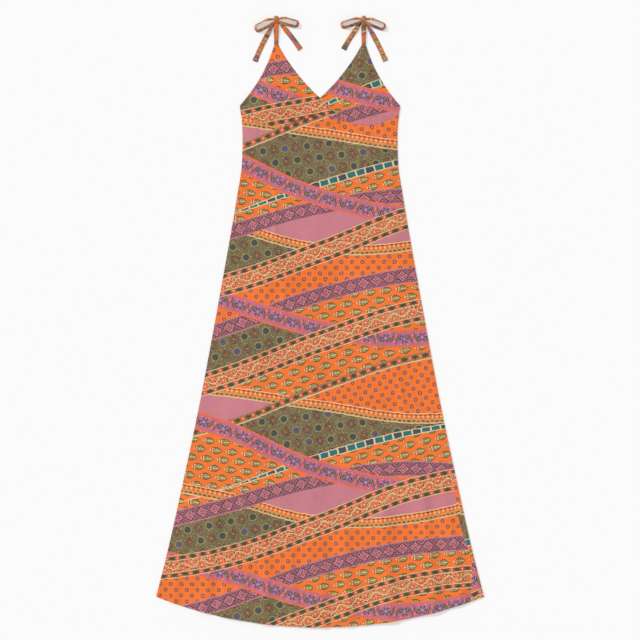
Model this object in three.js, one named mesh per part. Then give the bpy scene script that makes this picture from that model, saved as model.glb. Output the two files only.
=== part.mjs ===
// A sleeveless maxi dress laid flat, front side up, on the surface it rests on.
// It has crossed bust cups, a flared front cut in one from the underbust seam to a curved hem, a low back,
// and ties that meet in a bow over each shoulder.
// Millimetres. +X is to the viewer's right, +Y runs from the hem to the shoulders and +Z is up.
// The origin is on the surface that it rests on, half way along the dress.
// Heights called "up" are measured from the hem's lowest point.
import * as THREE from "three";

// One layer of cloth, and the gap left between pieces that are sewn or lie together.
const CLOTH = 1.2;
const SEAM_GAP = 0.3;

// The whole dress, from the hem's lowest point to the top of the shoulder knots.
const DRESS_LENGTH = 1435;
const HEM_LOWEST_Y = -DRESS_LENGTH / 2;

// The hem is an arc between the two side seams. Its narrow double turning is thicker than the cloth.
// The front has come down from the back's turning at HEM_SETTLED above the hem.
const HEM_HALF_WIDTH = 384.5;
const HEM_CORNER_UP = 71.5;
const HEM_TURNING = 12;
const HEM_EXTRA = 0.5;
const HEM_SETTLED = 60;

// Half the dress's width at heights above the hem, from the side seam's lower end to the underarm.
const SIDE_SEAM = [
  { up: HEM_CORNER_UP, half: HEM_HALF_WIDTH },
  { up: 181, half: 357 },
  { up: 322, half: 325.5 },
  { up: 510, half: 285.5 },
  { up: 698, half: 250 },
  { up: 886, half: 216 },
  { up: 1027, half: 192 },
  { up: 1074, half: 184.5 },
  { up: 1121, half: 182 },
  { up: 1168, half: 182 },
  { up: 1196, half: 184.5 },
  { up: 1224, half: 188 },
];
const UNDERARM_UP = 1224;

// The seam under the bust, from the middle out to the side: it dips below the fullest part of each cup.
const UNDERBUST_SEAM = [
  { out: 0, up: 1203 },
  { out: 56, up: 1188 },
  { out: 92, up: 1178.5 },
  { out: 113, up: 1177 },
  { out: 136, up: 1180.5 },
  { out: 162, up: 1190 },
  { out: 190, up: 1206 },
];

// The V neck, and the point of each cup where its strap is sewn on.
const NECK_POINT_UP = 1242;
const STRAP_OUT = 102.8;
const CUP_POINT_UP = 1366.5;
const CUP_POINT_WIDTH = 9;
const ARMHOLE_HOLLOW = { out: 131, up: 1288 };
const NECKLINE_HOLLOW = { out: 60, up: 1297 };
// The rise of the cloth over the fullest part of a cup. It is flat along the cup's edges and grows inwards.
const BUST = { out: 108, up: 1232, spread: 62, rise: 5 };
const CUP_EDGE = { flat: 10, risen: 44 };
// The left cup has risen to lie on the right one before it reaches that cup's edge.
const CROSS_RISE = { starts: 39, ends: 19 };

// The back's upper edge hangs lower than the front, with a slight scoop.
// Above it the cups come down to lie on the surface, and they pass over each back strap.
const BACK_EDGE_UP = 1221;
const BACK_SCOOP = 16;
const CUP_OVER_BACK = { starts: 22, ends: 60 };
const CUP_OVER_STRAP = { beside: 1.5, spread: 26, lowEnd: -30, highEnd: -8 };

// Soft flutes in the front of the skirt. "at" is a share of the half width and "top" the height of the end.
// "rise" and "spread" are the ridge's height and half width at the hem, and "lean" is its drift further up.
const FLUTES = [
  { at: -0.79, top: 640, rise: 3.4, spread: 52, lean: 10 },
  { at: -0.53, top: 1090, rise: 5.2, spread: 46, lean: -6 },
  { at: -0.31, top: 880, rise: 4.0, spread: 40, lean: 12 },
  { at: -0.06, top: 1010, rise: 4.6, spread: 48, lean: -8 },
  { at: 0.19, top: 760, rise: 3.6, spread: 42, lean: 6 },
  { at: 0.43, top: 1060, rise: 5.4, spread: 46, lean: 10 },
  { at: 0.69, top: 930, rise: 4.4, spread: 44, lean: -12 },
  { at: 0.87, top: 480, rise: 2.6, spread: 36, lean: 4 },
];
// A flute narrows to a share of its spread at its top. All die away beyond a share of the half width.
const FLUTE_TOP_SPREAD = 0.5;
const FLUTE_OUTER_SHARE = 0.86;

// The ties are narrow tubes of the same cloth, pressed flat.
const TIE_WIDTH = 12;
const TIE_THICKNESS = 1.6;
const STRAP_FOOT_WIDTH = 8.5;
const KNOT_UP = 1426.5;
const KNOT = { wide: 12.5, long: 17, high: 10 };
const TIE_LAYER = TIE_THICKNESS + SEAM_GAP;
// A tie is bunched to this share of its width where it enters the knot.
const ROOT_WIDTH = 0.45;
// A tail curves out by its bow and has its full width at a share of its way.
// It comes down to the surface between two distances from the knot.
const TAIL = { bow: 3, wideAt: 0.4, leavesStrap: 26, onSurface: 52 };
// A loop stands up by an angle, and its fullness opens its roots and its far end.
// The rest are shares of the loop, counted from its nearer root.
const LOOP = {
  stand: 66,
  fullness: 1.6,
  turnsFrom: 0.04,
  stoodBy: 0.2,
  wideBy: 0.22,
  dropsFrom: 0.08,
  downBy: 0.3,
};
// A front strap climbs over the tails between two shares of its way, and has its full width at a third one.
const FRONT_STRAP = { climbsFrom: 0.35, climbedBy: 0.8, wideBy: 0.7 };
const BACK_STRAP_WIDTH = 10;
const BACK_STRAP_START = 2.5;
// The knot is cut flat below, at a share of its height from the middle, and drawn in where it is wrapped.
const KNOT_CUT = 0.36;
const KNOT_WRAP = { pull: 0.1, spread: 0.16 };

// One bow at each shoulder. "outer" is the side towards the arm.
// A loop has its reach from the knot, its width and the angle by which it droops.
// A tail has the place of its free end beside and below the knot.
const BOWS = [
  {
    name: "left",
    side: -1,
    loops: {
      outer: { reach: 53, width: 16, droop: 25 },
      inner: { reach: 52, width: 14.5, droop: 12 },
    },
    tails: {
      outer: { beside: 50, below: 98 },
      inner: { beside: 57, below: 70 },
    },
  },
  {
    name: "right",
    side: 1,
    loops: {
      outer: { reach: 52, width: 15, droop: 20 },
      inner: { reach: 53.5, width: 14, droop: 15 },
    },
    tails: {
      outer: { beside: 51.5, below: 97 },
      inner: { beside: 47.5, below: 70 },
    },
  },
];

// Steps of the meshes.
const SKIRT_COLUMNS = 46;
const SKIRT_ROWS = 22;
const BACK_COLUMNS = 14;
const SEAM_STEPS = 23;
const CUP_COLUMNS = 15;
const CUP_ROWS = 16;
const CUP_CORNER_ROW = 4;
const TIE_STEPS = 14;
const LOOP_STEPS = 30;

const y = (up) => HEM_LOWEST_Y + up;

// A smooth line through a table's rows: the value in column "to" for any value in column "from".
function readTable(rows, from, to) {
  const last = rows.length - 1;
  const slope = (i) => {
    const before = rows[Math.max(i - 1, 0)];
    const after = rows[Math.min(i + 1, last)];
    return (after[to] - before[to]) / (after[from] - before[from]);
  };
  return (value) => {
    let i = 0;
    while (i < last - 1 && value > rows[i + 1][from]) i += 1;
    const span = rows[i + 1][from] - rows[i][from];
    const t = THREE.MathUtils.clamp((value - rows[i][from]) / span, 0, 1);
    const t2 = t * t;
    const t3 = t2 * t;
    return (
      (2 * t3 - 3 * t2 + 1) * rows[i][to] +
      (t3 - 2 * t2 + t) * span * slope(i) +
      (3 * t2 - 2 * t3) * rows[i + 1][to] +
      (t3 - t2) * span * slope(i + 1)
    );
  };
}

const halfWidth = readTable(SIDE_SEAM, "up", "half");
const seamCurve = readTable(UNDERBUST_SEAM, "out", "up");

// A soft step from 0 to 1 as a value goes from one mark to another, which may also be the lower one.
const smooth = (from, to, value) => THREE.MathUtils.smoothstep((value - from) / (to - from), 0, 1);
const bell = (value) => Math.exp(-value * value);

// The hem's arc through its lowest point and both corners.
const HEM_RADIUS = (HEM_HALF_WIDTH ** 2 + HEM_CORNER_UP ** 2) / (2 * HEM_CORNER_UP);
const hemUp = (x) => HEM_RADIUS - Math.sqrt(HEM_RADIUS ** 2 - x * x);

function hemLine(t) {
  const x = THREE.MathUtils.lerp(-HEM_HALF_WIDTH, HEM_HALF_WIDTH, t);
  return new THREE.Vector2(x, y(hemUp(x)));
}

// The seam ends at the side seams. The pieces on both sides of it share one line of straight steps.
const SEAM_HALF_WIDTH = halfWidth(UNDERBUST_SEAM.at(-1).up);
const SEAM_STEP = (2 * SEAM_HALF_WIDTH) / SEAM_STEPS;
const SEAM_END_UP = seamCurve(SEAM_HALF_WIDTH);

function seamUp(x) {
  const step = THREE.MathUtils.clamp(Math.floor((x + SEAM_HALF_WIDTH) / SEAM_STEP), 0, SEAM_STEPS - 1);
  const start = -SEAM_HALF_WIDTH + step * SEAM_STEP;
  return THREE.MathUtils.mapLinear(
    x,
    start,
    start + SEAM_STEP,
    seamCurve(Math.abs(start)),
    seamCurve(Math.abs(start + SEAM_STEP)),
  );
}

// How far each cup runs on past the middle, under or over the other one.
const CROSSING = CUP_COLUMNS * SEAM_STEP - SEAM_HALF_WIDTH;

// A point part of the way along a line that turns one corner, which it reaches at the share "corner".
function alongTwo(first, second, corner) {
  return (t) => (t <= corner ? first(t / corner) : second((t - corner) / (1 - corner)));
}

function straight(a, b) {
  return (t) => new THREE.Vector2().lerpVectors(a, b, t);
}

function bowed(a, control, b) {
  const curve = new THREE.QuadraticBezierCurve(a, control, b);
  return (t) => curve.getPoint(t);
}

// The side seam between two heights, on the left (-1) or right (1).
function sideLine(side, fromUp, toUp) {
  return (t) => {
    const up = THREE.MathUtils.lerp(fromUp, toUp, t);
    return new THREE.Vector2(side * halfWidth(up), y(up));
  };
}

// The surface inside four edges: each point blends the opposite edges (a Coons patch).
function patch({ bottom, top, left, right }) {
  const corners = [bottom(0), bottom(1), top(0), top(1)];
  return (u, v) => {
    const point = new THREE.Vector2();
    point.addScaledVector(bottom(u), 1 - v).addScaledVector(top(u), v);
    point.addScaledVector(left(v), 1 - u).addScaledVector(right(v), u);
    point.addScaledVector(corners[0], -(1 - u) * (1 - v)).addScaledVector(corners[1], -u * (1 - v));
    point.addScaledVector(corners[2], -(1 - u) * v).addScaledVector(corners[3], -u * v);
    return point;
  };
}

// Joins two grids of points, an upper and a lower one, into one closed wall.
function wallBetween(upper, lower, columns, rows) {
  const layer = (columns + 1) * (rows + 1);
  const at = (i, j, below) => (below ? layer : 0) + j * (columns + 1) + i;
  const faces = [];
  const quad = (a, b, c, d) => faces.push(a, b, c, a, c, d);
  for (let j = 0; j < rows; j += 1) {
    for (let i = 0; i < columns; i += 1) {
      quad(at(i, j), at(i + 1, j), at(i + 1, j + 1), at(i, j + 1));
      quad(at(i, j, 1), at(i, j + 1, 1), at(i + 1, j + 1, 1), at(i + 1, j, 1));
    }
    quad(at(0, j), at(0, j + 1), at(0, j + 1, 1), at(0, j, 1));
    quad(at(columns, j), at(columns, j, 1), at(columns, j + 1, 1), at(columns, j + 1));
  }
  for (let i = 0; i < columns; i += 1) {
    quad(at(i, 0), at(i, 0, 1), at(i + 1, 0, 1), at(i + 1, 0));
    quad(at(i, rows), at(i + 1, rows), at(i + 1, rows, 1), at(i, rows, 1));
  }
  const geometry = new THREE.BufferGeometry();
  const positions = [...upper, ...lower].flatMap((point) => [point.x, point.y, point.z]);
  geometry.setAttribute("position", new THREE.Float32BufferAttribute(positions, 3));
  geometry.setIndex(faces);
  return geometry;
}

// A cloth panel: its outline as a patch, the height of its underside and its thickness at each place.
function panel({ outline, columns, rows, shareAt, underside, thickness }) {
  const upper = [];
  const lower = [];
  for (let j = 0; j <= rows; j += 1) {
    for (let i = 0; i <= columns; i += 1) {
      const place = outline(i / columns, shareAt(j / rows));
      const low = underside(place.x, place.y);
      lower.push(new THREE.Vector3(place.x, place.y, low));
      upper.push(new THREE.Vector3(place.x, place.y, low + thickness(place.x, place.y)));
    }
  }
  return wallBetween(upper, lower, columns, rows);
}

// Row positions up a long panel whose first row is the hem's turning.
function hemFirst(rows, length) {
  const turning = HEM_TURNING / length;
  const first = 1 / rows;
  return (t) => {
    if (t <= first) return (t / first) * turning;
    return turning + ((t - first) / (1 - first)) * (1 - turning);
  };
}

// Cloth is thicker in the hem's turning.
const hemThickness = (x, py) => {
  const turned = py - y(hemUp(x)) < HEM_TURNING + SEAM_GAP;
  return CLOTH + (turned ? HEM_EXTRA : 0);
};

// The flutes' rise over the flat front, which dies away at the side seams and towards the top.
function fluteRise(x, py) {
  const up = py - HEM_LOWEST_Y;
  const half = halfWidth(Math.max(up, HEM_CORNER_UP));
  const edge = smooth(1, FLUTE_OUTER_SHARE, Math.abs(x) / half);
  let rise = 0;
  for (const flute of FLUTES) {
    const climb = THREE.MathUtils.clamp(up / flute.top, 0, 1);
    const middle = flute.at * half + flute.lean * Math.sin(climb * Math.PI);
    const spread = flute.spread * THREE.MathUtils.lerp(1, FLUTE_TOP_SPREAD, climb);
    rise += flute.rise * (1 - climb * climb) * bell((x - middle) / spread);
  }
  return rise * edge;
}

const onBack = CLOTH + SEAM_GAP;

// How far a place in a cup lies inside the straight line between two other places.
function insideLine(place, from, to) {
  const along = new THREE.Vector2().subVectors(to, from).normalize();
  return along.cross(new THREE.Vector2().subVectors(place, from));
}

const V_POINT = new THREE.Vector2(0, NECK_POINT_UP);
const TIP = new THREE.Vector2(STRAP_OUT, CUP_POINT_UP);
const UNDERARM = new THREE.Vector2(halfWidth(UNDERARM_UP), UNDERARM_UP);

// 0 along a cup's armhole, neckline and seam, and 1 well inside it.
function cupFullness(out, up) {
  const place = new THREE.Vector2(out, up);
  const grow = (distance) => smooth(CUP_EDGE.flat, CUP_EDGE.risen, distance);
  const fromNeckline = grow(-insideLine(place, V_POINT, TIP));
  const fromArmhole = grow(-insideLine(place, TIP, UNDERARM));
  return fromNeckline * fromArmhole * grow(up - seamUp(out));
}

// The height of a cup's underside. The back panel and the back strap lie below it, and the right cup lies
// below the left one.
function underCup(side) {
  const otherEdge = new THREE.Vector2(-CROSSING, seamUp(CROSSING));
  return (x, py) => {
    const up = py - HEM_LOWEST_Y;
    const out = Math.abs(x);
    const overBack = onBack * smooth(CUP_OVER_BACK.ends, CUP_OVER_BACK.starts, up - BACK_EDGE_UP);
    const besideStrap = Math.abs(out - STRAP_OUT) - TIE_WIDTH / 2;
    const overStrap =
      TIE_LAYER *
      smooth(CUP_OVER_STRAP.spread - TIE_WIDTH / 2, CUP_OVER_STRAP.beside, besideStrap) *
      smooth(CUP_OVER_STRAP.lowEnd, CUP_OVER_STRAP.highEnd, up - BACK_EDGE_UP);
    const overOther = insideLine(new THREE.Vector2(x, up), V_POINT, otherEdge);
    const crossed = side < 0 ? onBack * smooth(-CROSS_RISE.starts, -CROSS_RISE.ends, overOther) : 0;
    const fromBust = Math.hypot(out - BUST.out, up - BUST.up);
    const bust = BUST.rise * bell(fromBust / BUST.spread) * cupFullness(out, up);
    return Math.max(overBack, overStrap) + crossed + bust;
  };
}

// A front cup. Its edges are the underbust seam, the side and armhole, the short edge at the strap, and the
// neckline, which runs on past the middle to the seam.
function cupOutline(side) {
  const lift = SEAM_GAP / 2;
  const point = (out, up) => new THREE.Vector2(side * out, y(up));
  const sideEnd = SEAM_END_UP + lift;
  const underarm = point(halfWidth(UNDERARM_UP), UNDERARM_UP);
  const armTip = point(STRAP_OUT + CUP_POINT_WIDTH / 2, CUP_POINT_UP);
  const neckTip = point(STRAP_OUT - CUP_POINT_WIDTH / 2, CUP_POINT_UP);
  const crossed = point(-CROSSING, seamUp(CROSSING) + lift);
  const neck = point(0, NECK_POINT_UP);
  const corner = CUP_CORNER_ROW / CUP_ROWS;
  const outerEdge = alongTwo(
    sideLine(side, sideEnd, UNDERARM_UP),
    bowed(underarm, point(ARMHOLE_HOLLOW.out, ARMHOLE_HOLLOW.up), armTip),
    corner,
  );
  const innerEdge = alongTwo(
    straight(crossed, neck),
    bowed(neck, point(NECKLINE_HOLLOW.out, NECKLINE_HOLLOW.up), neckTip),
    corner,
  );
  const seam = (t) => {
    const out = THREE.MathUtils.lerp(SEAM_HALF_WIDTH, -CROSSING, t);
    return point(out, seamUp(out) + lift);
  };
  const tip = straight(armTip, neckTip);
  if (side < 0) return patch({ bottom: seam, top: tip, left: outerEdge, right: innerEdge });
  const flipped = (line) => (t) => line(1 - t);
  return patch({ bottom: flipped(seam), top: flipped(tip), left: innerEdge, right: outerEdge });
}

function cup(side) {
  return panel({
    outline: cupOutline(side),
    columns: CUP_COLUMNS,
    rows: CUP_ROWS,
    shareAt: (t) => t,
    underside: underCup(side),
    thickness: () => CLOTH,
  });
}

function frontSkirt() {
  const lift = SEAM_GAP / 2;
  const topUp = SEAM_END_UP - lift;
  return panel({
    outline: patch({
      bottom: hemLine,
      top: (t) => {
        const x = THREE.MathUtils.lerp(-SEAM_HALF_WIDTH, SEAM_HALF_WIDTH, t);
        return new THREE.Vector2(x, y(seamUp(x) - lift));
      },
      left: sideLine(-1, HEM_CORNER_UP, topUp),
      right: sideLine(1, HEM_CORNER_UP, topUp),
    }),
    columns: SKIRT_COLUMNS,
    rows: SKIRT_ROWS,
    shareAt: hemFirst(SKIRT_ROWS, topUp),
    underside: (x, py) => {
      const overTurning = HEM_EXTRA * smooth(HEM_SETTLED, HEM_TURNING, py - y(hemUp(x)));
      return onBack + overTurning + fluteRise(x, py);
    },
    thickness: hemThickness,
  });
}

function backPanel() {
  const topHalf = halfWidth(BACK_EDGE_UP);
  return panel({
    outline: patch({
      bottom: hemLine,
      top: (t) => {
        const x = THREE.MathUtils.lerp(-topHalf, topHalf, t);
        return new THREE.Vector2(x, y(BACK_EDGE_UP - BACK_SCOOP * (1 - (x / topHalf) ** 2)));
      },
      left: sideLine(-1, HEM_CORNER_UP, BACK_EDGE_UP),
      right: sideLine(1, HEM_CORNER_UP, BACK_EDGE_UP),
    }),
    columns: BACK_COLUMNS,
    rows: SKIRT_ROWS,
    shareAt: hemFirst(SKIRT_ROWS, BACK_EDGE_UP),
    underside: () => 0,
    thickness: hemThickness,
  });
}

// A flat tie swept along its stations. Each has its middle, its width, its thickness and the angle by which
// it stands up on its edge.
function tie(stations) {
  const ring = (station, index) => {
    const before = stations[Math.max(index - 1, 0)].middle;
    const after = stations[Math.min(index + 1, stations.length - 1)].middle;
    const along = new THREE.Vector3().subVectors(after, before).setZ(0).normalize();
    const level = new THREE.Vector3(-along.y, along.x, 0);
    const stand = THREE.MathUtils.degToRad(station.stand);
    const across = level.clone().multiplyScalar(Math.cos(stand)).setZ(Math.sin(stand));
    const through = new THREE.Vector3().crossVectors(along, across);
    const corner = (a, b) =>
      station.middle
        .clone()
        .addScaledVector(across, (a * station.width) / 2)
        .addScaledVector(through, (b * station.thickness) / 2);
    return [corner(-1, 1), corner(1, 1), corner(-1, -1), corner(1, -1)];
  };
  const rings = stations.map(ring);
  const upper = [0, 1].map((k) => rings.map((corners) => corners[k]));
  const lower = [2, 3].map((k) => rings.map((corners) => corners[k]));
  return wallBetween([...upper[0], ...upper[1]], [...lower[0], ...lower[1]], stations.length - 1, 1);
}

// The height of a flat tie's middle when its underside is this high.
const lying = (underside) => underside + TIE_THICKNESS / 2;

// A strap runs straight up to the knot from its foot.
function strap(side, footY, undersideAt, widthAt) {
  const headY = y(KNOT_UP) - KNOT.long / 2 - SEAM_GAP;
  const stations = [];
  for (let i = 0; i <= TIE_STEPS; i += 1) {
    const t = i / TIE_STEPS;
    const alongY = THREE.MathUtils.lerp(footY, headY, t);
    stations.push({
      middle: new THREE.Vector3(side * STRAP_OUT, alongY, lying(undersideAt(t))),
      width: widthAt(t),
      thickness: TIE_THICKNESS,
      stand: 0,
    });
  }
  return tie(stations);
}

// The front strap starts at the cup's point and lies over the back strap and then the tails.
function frontStrap(side) {
  return strap(
    side,
    y(CUP_POINT_UP) + SEAM_GAP,
    (t) => TIE_LAYER * (1 + smooth(FRONT_STRAP.climbsFrom, FRONT_STRAP.climbedBy, t)),
    (t) => THREE.MathUtils.lerp(STRAP_FOOT_WIDTH, TIE_WIDTH, smooth(0, FRONT_STRAP.wideBy, t)),
  );
}

// The back strap lies on the surface under the cup, from just above the back's upper edge.
function backStrap(side) {
  const edgeUp = BACK_EDGE_UP - BACK_SCOOP * (1 - (STRAP_OUT / halfWidth(BACK_EDGE_UP)) ** 2);
  return strap(
    side,
    y(edgeUp) + BACK_STRAP_START,
    () => 0,
    () => BACK_STRAP_WIDTH,
  );
}

// How far the knot reaches in a direction in plan, with the gap to the tie that leaves it there.
function knotReach(way) {
  const unit = way.clone().normalize();
  return 1 / Math.hypot(unit.x / (KNOT.wide / 2), unit.y / (KNOT.long / 2)) + SEAM_GAP;
}

// A tail leaves the knot over the back strap and comes down to lie on the surface.
function tail(bow, side, { beside, below }) {
  const middle = new THREE.Vector2(bow.side * STRAP_OUT, y(KNOT_UP));
  const way = new THREE.Vector2(side * beside, -below);
  const start = knotReach(way) / way.length();
  const stations = [];
  for (let i = 0; i <= TIE_STEPS; i += 1) {
    const t = THREE.MathUtils.lerp(start, 1, i / TIE_STEPS);
    const place = middle.clone().addScaledVector(way, t);
    place.x += side * TAIL.bow * Math.sin(t * Math.PI);
    const drop = smooth(TAIL.leavesStrap, TAIL.onSurface, t * way.length());
    stations.push({
      middle: new THREE.Vector3(place.x, place.y, lying(TIE_LAYER * (1 - drop))),
      width: TIE_WIDTH * THREE.MathUtils.lerp(ROOT_WIDTH, 1, smooth(start, TAIL.wideAt, t)),
      thickness: TIE_THICKNESS,
      stand: 0,
    });
  }
  return tie(stations);
}

// A loop leaves the knot above the straps and tails, and turns on its edge as it comes down to the surface.
// It comes back below.
function loop(bow, side, { reach, width, droop }) {
  const turn = THREE.MathUtils.degToRad(droop);
  const outward = new THREE.Vector2(side * Math.cos(turn), -Math.sin(turn));
  const upward = new THREE.Vector2(side * Math.sin(turn), Math.cos(turn));
  const lowerRoot = outward.clone().multiplyScalar(reach).addScaledVector(upward, -width * LOOP.fullness);
  const start = knotReach(lowerRoot) / (Math.PI * lowerRoot.length());
  const stations = [];
  for (let i = 0; i <= LOOP_STEPS; i += 1) {
    const t = THREE.MathUtils.lerp(start, 1 - start, i / LOOP_STEPS);
    const fromRoot = Math.min(t, 1 - t);
    const swing = Math.sin(2 * Math.PI * t);
    const across = (width / 2) * swing * (LOOP.fullness - (LOOP.fullness - 1) * swing * swing);
    const place = new THREE.Vector2(bow.side * STRAP_OUT, y(KNOT_UP))
      .addScaledVector(outward, reach * Math.sin(Math.PI * t))
      .addScaledVector(upward, across);
    const stand = LOOP.stand * smooth(LOOP.turnsFrom, LOOP.stoodBy, fromRoot);
    const radians = THREE.MathUtils.degToRad(stand);
    const tieWidth = TIE_WIDTH * THREE.MathUtils.lerp(ROOT_WIDTH, 1, smooth(start, LOOP.wideBy, fromRoot));
    const halfHigh = (tieWidth * Math.sin(radians) + TIE_THICKNESS * Math.cos(radians)) / 2;
    const rest = 3 * TIE_LAYER * smooth(LOOP.downBy, LOOP.dropsFrom, fromRoot);
    stations.push({
      middle: new THREE.Vector3(place.x, place.y, rest + halfHigh),
      width: tieWidth,
      thickness: TIE_THICKNESS,
      stand: side < 0 ? stand : -stand,
    });
  }
  return tie(stations);
}

// The knot is a rounded lump that lies on the surface, with the groove of its wrap across the middle.
function knot(side) {
  const geometry = new THREE.SphereGeometry(0.5, 20, 14);
  const position = geometry.getAttribute("position");
  for (let i = 0; i < position.count; i += 1) {
    const x = position.getX(i);
    const along = position.getY(i);
    const z = Math.max(position.getZ(i), -KNOT_CUT);
    const waist = 1 - KNOT_WRAP.pull * bell(along / KNOT_WRAP.spread);
    position.setXYZ(
      i,
      side * STRAP_OUT + x * KNOT.wide * waist,
      y(KNOT_UP) + along * KNOT.long,
      ((z * waist + KNOT_CUT) / (0.5 + KNOT_CUT)) * KNOT.high,
    );
  }
  return geometry;
}

const PRINTED_CLOTH = new THREE.MeshStandardMaterial({ color: 0xc8743f, roughness: 0.9, metalness: 0 });
const BACK_CLOTH = new THREE.MeshStandardMaterial({ color: 0xb9705a, roughness: 0.9, metalness: 0 });
const TIE_CLOTH = new THREE.MeshStandardMaterial({ color: 0xa88258, roughness: 0.88, metalness: 0 });

const dress = new THREE.Group();

function add(name, geometry, material) {
  const mesh = new THREE.Mesh(geometry, material);
  mesh.name = name;
  dress.add(mesh);
}

add("back_panel", backPanel(), BACK_CLOTH);
add("front_skirt", frontSkirt(), PRINTED_CLOTH);
add("front_cup_right", cup(1), PRINTED_CLOTH);
add("front_cup_left", cup(-1), PRINTED_CLOTH);

for (const bow of BOWS) {
  add(`strap_back_${bow.name}`, backStrap(bow.side), TIE_CLOTH);
  add(`strap_front_${bow.name}`, frontStrap(bow.side), TIE_CLOTH);
  add(`knot_${bow.name}`, knot(bow.side), TIE_CLOTH);
  for (const place of ["outer", "inner"]) {
    const side = place === "outer" ? bow.side : -bow.side;
    add(`bow_loop_${bow.name}_${place}`, loop(bow, side, bow.loops[place]), TIE_CLOTH);
    add(`bow_tail_${bow.name}_${place}`, tail(bow, side, bow.tails[place]), TIE_CLOTH);
  }
}

export default dress;
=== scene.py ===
"""The looks of a sleeveless maxi dress laid flat: its printed cloth, shoulder ties, sewing and studio."""

import math
from functools import partialmethod
from types import SimpleNamespace

import bmesh
import bpy
import numpy as np
from bpy.props import FloatProperty, FloatVectorProperty, IntProperty, PointerProperty
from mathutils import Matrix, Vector


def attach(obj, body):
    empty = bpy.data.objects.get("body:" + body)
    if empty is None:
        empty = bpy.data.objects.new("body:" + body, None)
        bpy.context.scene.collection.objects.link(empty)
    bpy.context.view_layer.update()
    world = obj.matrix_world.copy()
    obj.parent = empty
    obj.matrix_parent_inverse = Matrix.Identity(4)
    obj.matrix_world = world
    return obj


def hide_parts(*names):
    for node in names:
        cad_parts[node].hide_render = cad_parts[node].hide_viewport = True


bl_info = {
    "name": "Maxi dress laid flat",
    "version": (1, 0, 0),
    "blender": (4, 5, 0),
    "location": "3D View > Sidebar > Dress",
    "description": "Builds a printed maxi dress with shoulder ties in bows, piece by piece",
    "category": "Object",
}

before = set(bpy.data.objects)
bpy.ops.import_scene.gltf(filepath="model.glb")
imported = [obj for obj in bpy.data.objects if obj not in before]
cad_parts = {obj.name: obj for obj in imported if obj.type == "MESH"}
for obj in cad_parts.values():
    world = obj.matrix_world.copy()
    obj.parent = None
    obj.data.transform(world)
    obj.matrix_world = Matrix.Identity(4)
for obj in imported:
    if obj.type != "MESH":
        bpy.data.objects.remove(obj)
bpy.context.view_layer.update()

# Shapes are worked out in millimetres and made in metres.
MM = 0.001

# The same named sizes as the solids. Heights called "up" are counted from the hem's lowest point.
DRESS_LENGTH = 1435.0
HEM_HALF_WIDTH = 384.5
HEM_CORNER_UP = 71.5
UNDERARM_UP = 1224.0
NECK_POINT_UP = 1242.0
STRAP_OUT = 102.8
CUP_POINT_UP = 1366.5
CUP_POINT_WIDTH = 9.0
ARMHOLE_HOLLOW = (131.0, 1288.0)
NECKLINE_HOLLOW = (60.0, 1297.0)
BACK_EDGE_UP = 1221.0
BACK_SCOOP = 16.0
KNOT_UP = 1426.5

# Half the width at each height, from the hem's corner to the underarm.
SIDE_SEAM = {
    "up": (71.5, 181, 322, 510, 698, 886, 1027, 1074, 1121, 1168, 1196, 1224),
    "half": (384.5, 357, 325.5, 285.5, 250, 216, 192, 184.5, 182, 182, 184.5, 188),
}

# The seam under the bust, from the middle to the side.
UNDERBUST_SEAM = {
    "out": (0, 56, 92, 113, 136, 162, 190),
    "up": (1203, 1188, 1178.5, 1177, 1180.5, 1190, 1206),
}


def ink(red, green, blue):
    """A colour read off a swatch in 0 to 255, as the linear values that materials take."""
    shares = (value / 255 for value in (red, green, blue))
    return tuple(s / 12.92 if s <= 0.04045 else ((s + 0.055) / 1.055) ** 2.4 for s in shares)


def size(name, description, default):
    """A property for a length that is given in millimetres."""
    default = default * MM
    return FloatProperty(name=name, description=description, default=default, unit="LENGTH", precision=4)


def dye(name, description, *swatch):
    return FloatVectorProperty(
        name=name, description=description, default=ink(*swatch), subtype="COLOR", size=3, min=0, max=1
    )


class DressSizes(bpy.types.PropertyGroup):
    """Sizes of the cloth and its sewing."""

    cloth: size("Cloth", "Thickness of one layer of cloth", 1.1)
    turning: size("Hem turning", "Depth of the double turning at the hem", 12.0)
    turning_rise: size("Turning rise", "How much thicker the turned hem is", 0.5)
    edge_turning: size("Edge turning", "Depth of the narrow turning along neckline and armholes", 6.0)
    tie_width: size("Tie width", "Width of a pressed tie", 12.0)
    tie_thickness: size("Tie thickness", "Thickness of a pressed tie", 1.6)
    stitch_pitch: size("Stitch pitch", "From one stitch to the next", 3.2)
    stitch_length: size("Stitch length", "Length of one stitch that shows", 2.3)
    thread: size("Thread", "Thickness of the sewing thread", 0.45)
    seed: IntProperty(name="Seed", description="Varies the sewing by hand", default=7, min=0)


class DressDyes(bpy.types.PropertyGroup):
    """Colours of the print, the thread and the studio floor."""

    orange: dye("Orange", "Bright orange ground", 242, 118, 48)
    olive: dye("Olive", "Olive ground", 122, 108, 76)
    mauve: dye("Mauve", "Plain mauve ground", 199, 124, 134)
    lilac: dye("Lilac", "Ground of the flower strips", 184, 112, 140)
    rosewood: dye("Rosewood", "Ground of the lattice strips", 166, 112, 124)
    tan: dye("Tan", "Ground of the vine strips", 206, 146, 84)
    umber: dye("Umber", "Ground of the block rows", 160, 120, 80)
    cream: dye("Cream", "Piping and fine lines", 226, 200, 154)
    coral: dye("Coral", "Small flowers", 226, 96, 66)
    plum: dye("Plum", "Dark lines and dots", 92, 52, 58)
    slate: dye("Slate", "Rosettes and dark blossoms", 66, 80, 88)
    indigo: dye("Indigo", "Blue petals", 98, 90, 140)
    moss: dye("Moss", "Dark leaves, outlines and edging dots", 82, 72, 52)
    leaf: dye("Leaf", "Pale leaves", 168, 158, 88)
    teal: dye("Teal", "Tile strips", 44, 112, 116)
    thread: dye("Thread", "Sewing thread", 178, 104, 70)
    floor: dye("Floor", "Studio floor", 250, 250, 250)


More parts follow.
